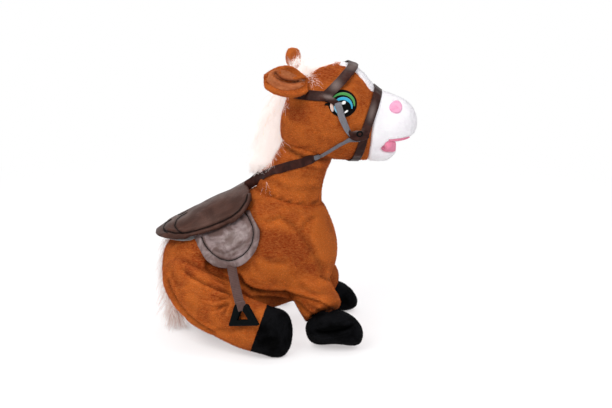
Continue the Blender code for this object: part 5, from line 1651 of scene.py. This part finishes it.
for side, y in sides.items():
    base = layPatch(side + "_eye_patch", y, eyeLook["base"], 0.5 * mm, 0.9 * mm, threadBlack)
    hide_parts(side + "_eye")
    parts = [
        layStrip(side + "_eye_green", y, eyeLook["green"], 1.5 * mm, threadGreen),
        layStrip(side + "_eye_cyan", y, eyeLook["cyan"], 1.55 * mm, threadCyan),
        layStrip(side + "_eye_ice_blue", y, eyeLook["iceBlue"], 1.6 * mm, threadIce),
        layPatch(side + "_eye_blush", y, eyeLook["blush"], 1.25 * mm, 0.35 * mm, threadBlush, 4),
        layPatch(side + "_eye_pupil", y, eyeLook["pupil"], 1.4 * mm, 0.4 * mm, threadBlack, 5),
        layPatch(side + "_eye_spark", y, eyeLook["spark"], 1.7 * mm, 0.4 * mm, threadWhite, 4),
        layPatch(side + "_eye_glint", y, eyeLook["glint"], 1.7 * mm, 0.4 * mm, threadWhite, 4),
    ]
    for k, lash in enumerate(eyeLook["lashes"]):
        parts.append(layPatch("%s_lash_%d" % (side, k + 1), y, lash, 0.4 * mm, 0.8 * mm, threadBlack, 3))
    nostril = layPatch(side + "_nostril_patch", y, eyeLook["nostril"], 0.6 * mm, 0.9 * mm, feltPink, 8)
    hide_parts(side + "_nostril")
print("eyes and nostrils laid")

sewnOn = [piece for piece in bpy.data.objects if piece.name.endswith(("_eye_patch", "_nostril_patch"))]
keepOffFace = joinedCopy("faceShadow", [keepOff] + sewnOn)
bpy.data.objects.remove(keepOff)
keepOff = keepOffFace
pileOn("head", "velboa_head", "head", (-1.0, 0.0, -0.35), velboaBrown, "head")
pileOn("muzzle", "plush_muzzle", "face", (0.8, 0.0, -0.6), plushWhite, "head", 0.9)
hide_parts("lower_jaw")
pileOn("blaze", "plush_blaze", "face", (0.8, 0.0, -0.4), plushWhite, "head", 0.9)
tongueLook = {
    "middle": (388.3, 145.6), "radius": 6.6 * mm, "out": 0.8 * mm, "lipHeight": 138.0,
    "corner": (378, 149), "cornerReach": 0.010, "cornerPull": (0.004, 0.005, 0.0),
    "groove": 1.2 * mm, "grooveWidth": 0.003,
}
lipSide, _ = onSurface(faceTree, tongueLook["middle"][0], tongueLook["lipHeight"], -1.0)
start, towards = photoRay(*tongueLook["middle"])
sidePlace = start + towards * ((lipSide.y - start.y) / towards.y)
reach = abs(sidePlace.y) + tongueLook["out"] - tongueLook["radius"]
ball = bmesh.new()
bmesh.ops.create_uvsphere(ball, u_segments=32, v_segments=20, radius=tongueLook["radius"])
for v in ball.verts:
    v.co.y += math.copysign(reach, v.co.y) if abs(v.co.y) > 1e-6 else 0.0
    v.co.x += sidePlace.x
    v.co.z += sidePlace.z
tongue = fuseSkin("felt_tongue", "tongue", [ball], 0.8 * mm, 1.0 * mm, 3)
cornerPlace, _ = onSurface(surfaceOf(tongue), *tongueLook["corner"], -1.0)
pull(tongue, cornerPlace, tongueLook["cornerReach"], tongueLook["cornerPull"])
points, normals = readPoints(tongue)
across = points[:, 1] / tongueLook["grooveWidth"]
groove = tongueLook["groove"] * np.exp(-(across**2)) * (normals[:, 2] > 0.2)
writePoints(tongue, points - normals * groove[:, None])
pressFolds(tongue, [crease(2.6, 0.3, [(381, 141.5), (386, 139.6), (392, 140)], dark=0.35)])
dress(tongue, feltRose, "head", ["tongue"])
lipLook = {
    "line": [(388.5, 139.8), (393, 139.6), (399, 139.0), (405, 137.8), (409, 136.2)], "width": 2.6 * mm,
    "thick": 1.0 * mm, "lift": [0.3 * mm, 0.5 * mm], "shares": [0, 1], "wide": [0.8, 1.0],
}
for side, y in sides.items():
    lip = layStrap(side + "_lip_edge", y, lipLook, feltRose, faceTree)
    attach(lip, "head")
print("face piled")

# ears
earLook = {
    "slit": [(275, 72), (277.5, 77), (282.5, 80), (288.5, 81.6), (295, 81.8), (301, 80.5), (306, 81)],
    "lining": [
        (264, 75), (266, 71), (270, 68.4), (275, 67.4), (282, 68.4), (287, 70.5), (292, 73), (298, 76),
        (304, 79.5), (306, 82), (304, 85.5), (300, 88.2), (295, 90), (289, 91), (282, 90.6), (276, 88.6),
        (270, 85), (266, 80.5),
    ],
    "farLeft": 285.7, "farRight": 301.0,
}
for side in sides:
    ear = softCopy(side + "_ear_skin", [side + "_ear"], 0.8 * mm, 10)
    skins[side + "_ear"] = ear
    if side == "right":
        pressFolds(ear, [
            crease(1.7, 3.6, earLook["slit"], fade=0.06),
            crease(4.0, -1.4, [(266, 84), (275, 90), (287, 92), (299, 88)]),
            crease(2.6, -1.2, [(277, 70), (286, 73.5), (297, 78)]),
            crease(3.0, -0.8, [(266, 74), (268, 79), (273, 83)]),
        ])
        lining = layPatch(
            "right_tricot_lining", -1.0, earLook["lining"], 0.3 * mm, 0.5 * mm, liningSalmon, 16, surfaceOf(ear)
        )
        subdivide(lining)
        settle(lining)
        pressFolds(lining, [
            crease(1.5, 0.2, earLook["slit"], dark=0.75, fade=0.12),
            crease(1.6, 0.2, [(275, 70.5), (276, 77)], dark=0.45, fade=0.2),
        ])
    else:
        lining = softCopy(side + "_tricot_lining", [side + "_ear_lining"], 0.6 * mm, 5)
        spots = [readPoints(piece)[0] for piece in (ear, lining)]
        depth = np.array([0.0, sightLine.y, sightLine.z])
        away = (spots[0] - np.array(eyePoint)) @ depth
        seen = shot["pixelsWide"] / 2 + focalPixels * (spots[0][:, 0] - aim.x) / away
        squeeze = (earLook["farRight"] - earLook["farLeft"]) / (seen.max() - seen.min())
        middle = (spots[0][:, 0].max() + spots[0][:, 0].min()) / 2
        # a photo pixel is 1.03 mm at the far ear
        shift = ((earLook["farRight"] + earLook["farLeft"]) - (seen.max() + seen.min())) / 2 * mm * 1.03
        for piece, spot in zip((ear, lining), spots):
            spot[:, 0] = middle + (spot[:, 0] - middle) * squeeze + shift
            writePoints(piece, spot)
    pileOn(
        side + "_ear", side + "_velboa_ear", "ear", (-0.8, 0.0, 0.5), velboaBrown, side + "_ear",
        0.5,
    )
    skins[side + "_ear_lining"] = lining
    pileOn(
        side + "_ear_lining", side + "_ear_lining_pile", "lining", (0.8, 0.0, -0.3), liningSalmon,
        side + "_ear", 0.4,
    )

# mane, forelock, tail
maneLook = {
    "length": 24 * mm, "width": 0.34 * mm, "density": 0.75, "seed": 21, "clear": 0.5 * mm, "rise": 0.5,
    "stray": 0.5, "shortest": 0.35, "joints": 9, "bendPower": 1.8, "fall": (-0.004, 0.0, -0.016),
    "waves": [(16 * mm, 0.024), (5 * mm, 0.010)],
}
maneEnds = {"back": -0.0350, "floor": 0.1730, "give": 0.35, "ragged": 3.5 * mm}
neckCrease = 0.190  # the height where the head's part of the mane begins
forelockLook = {"narrow": 0.6, "lower": 0.0080}
tuftLook = {"place": (0.0130, -0.004, 0.2640), "size": (0.009, 0.018, 0.010)}
rootLook = {"radius": 5.5 * mm, "depth": 4.5}
tailLook = {"size": [0.7, 0.8, 1.05], "shift": [0.005, 0.0, 0.007]}


def keepWithin(piece, back, floor, give=0.1, ragged=0.0):
    # hair ends neither too far down nor too far behind
    points, normals = readPoints(piece)
    floor = floor + waver(points * np.array([1.0, 1.0, 0.05]), 0.005, 44) * ragged
    points[:, 0] = np.where(points[:, 0] < back, back + (points[:, 0] - back) * 0.25, points[:, 0])
    points[:, 2] = np.where(
        points[:, 2] < floor, floor - np.minimum(floor - points[:, 2], 0.02) * give, points[:, 2]
    )
    writePoints(piece, points)


def splitHair(piece, name, core, ring, height):
    # strands that root above the height, and the skin there, become a second piece that can follow its own body
    points, normals = readPoints(piece)
    above = points[:, 2] > height
    strands = above[core:].reshape(-1, ring)
    above[core:] = np.repeat(strands[:, 0], ring)
    below = ~above
    below[:core] = points[:core, 2] < height + 3 * mm
    upper = newPiece(name, piece.data.copy())
    for half, kept in ((upper, above), (piece, below)):
        form = bmesh.new()
        form.from_mesh(half.data)
        bmesh.ops.delete(form, geom=[v for v, k in zip(form.verts, kept) if not k], context="VERTS")
        form.to_mesh(half.data)
        form.free()
    return upper


mane = softCopy("mane_core", ["mane"], 1.8 * mm, 4)
coreCount = len(mane.data.vertices)
overhang = softCopy("stray_mane_hair", ["mane"], 1.8 * mm, 4)
combSkin(mane, (-0.6, 0.0, -1.0), 0.5, 0.02, 21)
growHair(mane, maneLook, keepOff)
mane.name = "long_hair_mane"
dress(mane, hairWhite, "", ["mane"])
combSkin(overhang, (0.7, 0.0, -0.8), 0.7, 0.015, 25)
growHair(overhang, {
    **maneLook, "length": 22 * mm, "density": 0.055, "width": 0.26 * mm, "seed": 25, "rise": 0.9, "stray": 0.7,
    "fall": (0.010, 0.0, -0.010), "waves": [(14 * mm, 0.016), (5 * mm, 0.006)],
}, None, False)
dress(overhang, hairWhite, "", ())
for piece, core, name in ((mane, coreCount, "long_hair_crest"), (overhang, 0, "stray_crest_hair")):
    keepWithin(piece, **maneEnds)
    crest = splitHair(piece, name, core, maneLook["joints"] * 3, neckCrease)
    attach(piece, "neck")
    dress(crest, hairWhite, "head", ())
forelock = softCopy("forelock_core", ["forelock"], 1.6 * mm, 8)
points, normals = readPoints(forelock)
points[:, 1] *= forelockLook["narrow"]
points[:, 2] -= forelockLook["lower"]
writePoints(forelock, points)
combSkin(forelock, (0.7, 0.0, 0.35), 0.8, 0.012, 22)
growHair(forelock, {
    **maneLook, "length": 12 * mm, "density": 0.34, "width": 0.24 * mm, "seed": 22, "rise": 0.35, "stray": 0.6,
    "fall": (0.004, 0.0, -0.004), "waves": [(12 * mm, 0.014), (4 * mm, 0.006)],
}, keepOff)
forelock.name = "long_hair_forelock"
dress(forelock, hairWhite, "head", ["forelock"])
tuft = bmesh.new()
bmesh.ops.create_icosphere(
    tuft, subdivisions=3, radius=1.0,
    matrix=Matrix.Translation(tuftLook["place"]) @ Matrix.Diagonal((*tuftLook["size"], 1.0)),
)
tuft = newPiece("long_hair_tuft", meshFrom(tuft, "ear_tuft"))
combSkin(tuft, (-0.1, 0.0, 1.0), 0.9, 0.01, 26)
growHair(tuft, {
    **maneLook, "length": 17 * mm, "density": 0.3, "width": 0.26 * mm, "seed": 26, "rise": 0.9, "stray": 0.6,
    "fall": (0.003, 0.0, -0.003), "waves": [(10 * mm, 0.012), (4 * mm, 0.006)],
}, None, False)
dress(tuft, hairWhite, "head", ())
strayLook = [  # photo place, body, way that the hairs lie, how many per square millimetre
    ("temple", 306, 79, "head", (0.8, -0.5, -0.5), 0.35), ("poll", 311, 73, "head", (0.9, -0.3, 0.1), 0.30),
    ("brow", 315, 84, "head", (0.9, -0.4, -0.4), 0.16),
    ("jaw", 287, 106, "head", (0.45, -0.3, -0.9), 0.22), ("nape", 279, 146, "neck", (0.7, -0.4, -0.6), 0.30),
    ("withers", 267, 181, "neck", (0.3, -0.3, -0.9), 0.08), ("back", 271, 160, "neck", (0.5, -0.4, -0.6), 0.18),
]
strayTree = surfaceOf(skins["head"], skins["neck"])
for name, px, py, body, way, share in strayLook:
    for side, y in sides.items():
        place, normal = onSurface(strayTree, px, py, y)
        root = bmesh.new()
        sunk = Matrix.Translation(place - normal * rootLook["depth"] * mm)
        bmesh.ops.create_icosphere(root, subdivisions=3, radius=rootLook["radius"], matrix=sunk)
        stray = newPiece("%s_%s_stray_hairs" % (side, name), meshFrom(root, name + "_root"))
        combSkin(stray, (way[0], -way[1] * y, way[2]), 0.8, 0.008, 27)
        growHair(stray, {
            **maneLook, "length": 11 * mm, "density": share, "width": 0.22 * mm, "seed": 27 + px, "rise": 0.55,
            "stray": 0.45, "fall": (0.002, 0.0, -0.004), "waves": [(8 * mm, 0.010), (3 * mm, 0.003)],
        }, None, False)
        dress(stray, hairWhite, body, ())
tail = softCopy("tail_core", ["tail"], 1.6 * mm, 4)
points, normals = readPoints(tail)
middle = points.mean(axis=0)
writePoints(tail, middle + (points - middle) * np.array(tailLook["size"]) + np.array(tailLook["shift"]))
combSkin(tail, (-0.1, 0.0, -1.0), 0.4, 0.02, 23)
growHair(tail, {
    **maneLook, "length": 26 * mm, "density": 0.55, "width": 0.26 * mm, "seed": 23, "rise": 0.30, "stray": 0.35,
    "fall": (-0.002, 0.0, -0.006), "waves": [(14 * mm, 0.018), (5 * mm, 0.008)],
})
keepWithin(tail, back=-0.1400, floor=0.0015)
tail.name = "long_hair_tail"
dress(tail, hairTail, "tail", ["tail"])
print("hair grown")

# tack finishes
eyeletLook = {"place": (358.6, 132.2), "lift": 4.6, "radius": 2.5 * mm, "wire": 0.8 * mm}
# painted highlights on the bridle straps and the seat
for name in ("browband", "noseband", "crown_strap", "saddle_seat"):
    paintHighlights(tack[name])
for name in ("crown_strap", "browband", "noseband"):
    dress(tack[name], leatherStrap, "head", [name])
dress(tack["saddle_seat"], leatherSeat, "torso", ["saddle_seat"])
dress(tack["saddle_pad"], feltGrey, "torso", ["saddle_pad"])
for side, y in sides.items():
    dress(
        tack[side + "_saddle_flap"], leatherTaupe, side + "_flap", [side + "_saddle_flap"]
    )
    dress(tack[side + "_stirrup_leather"], webbingTaupe, "", [side + "_stirrup_leather"])
    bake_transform(tack[side + "_stirrup_leather"])
    dress(tack[side + "_stirrup"], plasticBlack, side + "_stirrup", [side + "_stirrup"])
    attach(tack[side + "_rein_front"], "head")
    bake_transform(tack[side + "_rein_rear"])
    place, normal = onSurface(headNeckTree, *eyeletLook["place"], y)
    bpy.ops.mesh.primitive_torus_add(
        major_segments=28, minor_segments=10, major_radius=eyeletLook["radius"], minor_radius=eyeletLook["wire"]
    )
    ring = bpy.context.object
    ring.name = side + "_bridle_eyelet"
    facing = normal.to_track_quat("Z", "Y").to_matrix().to_4x4()
    ring.data.transform(Matrix.Translation(place + normal * eyeletLook["lift"] * mm) @ facing)
    dress(ring, plasticBlack, "head", [side + "_bridle_ring"])
bpy.data.objects.remove(keepOff)

print("scene done")
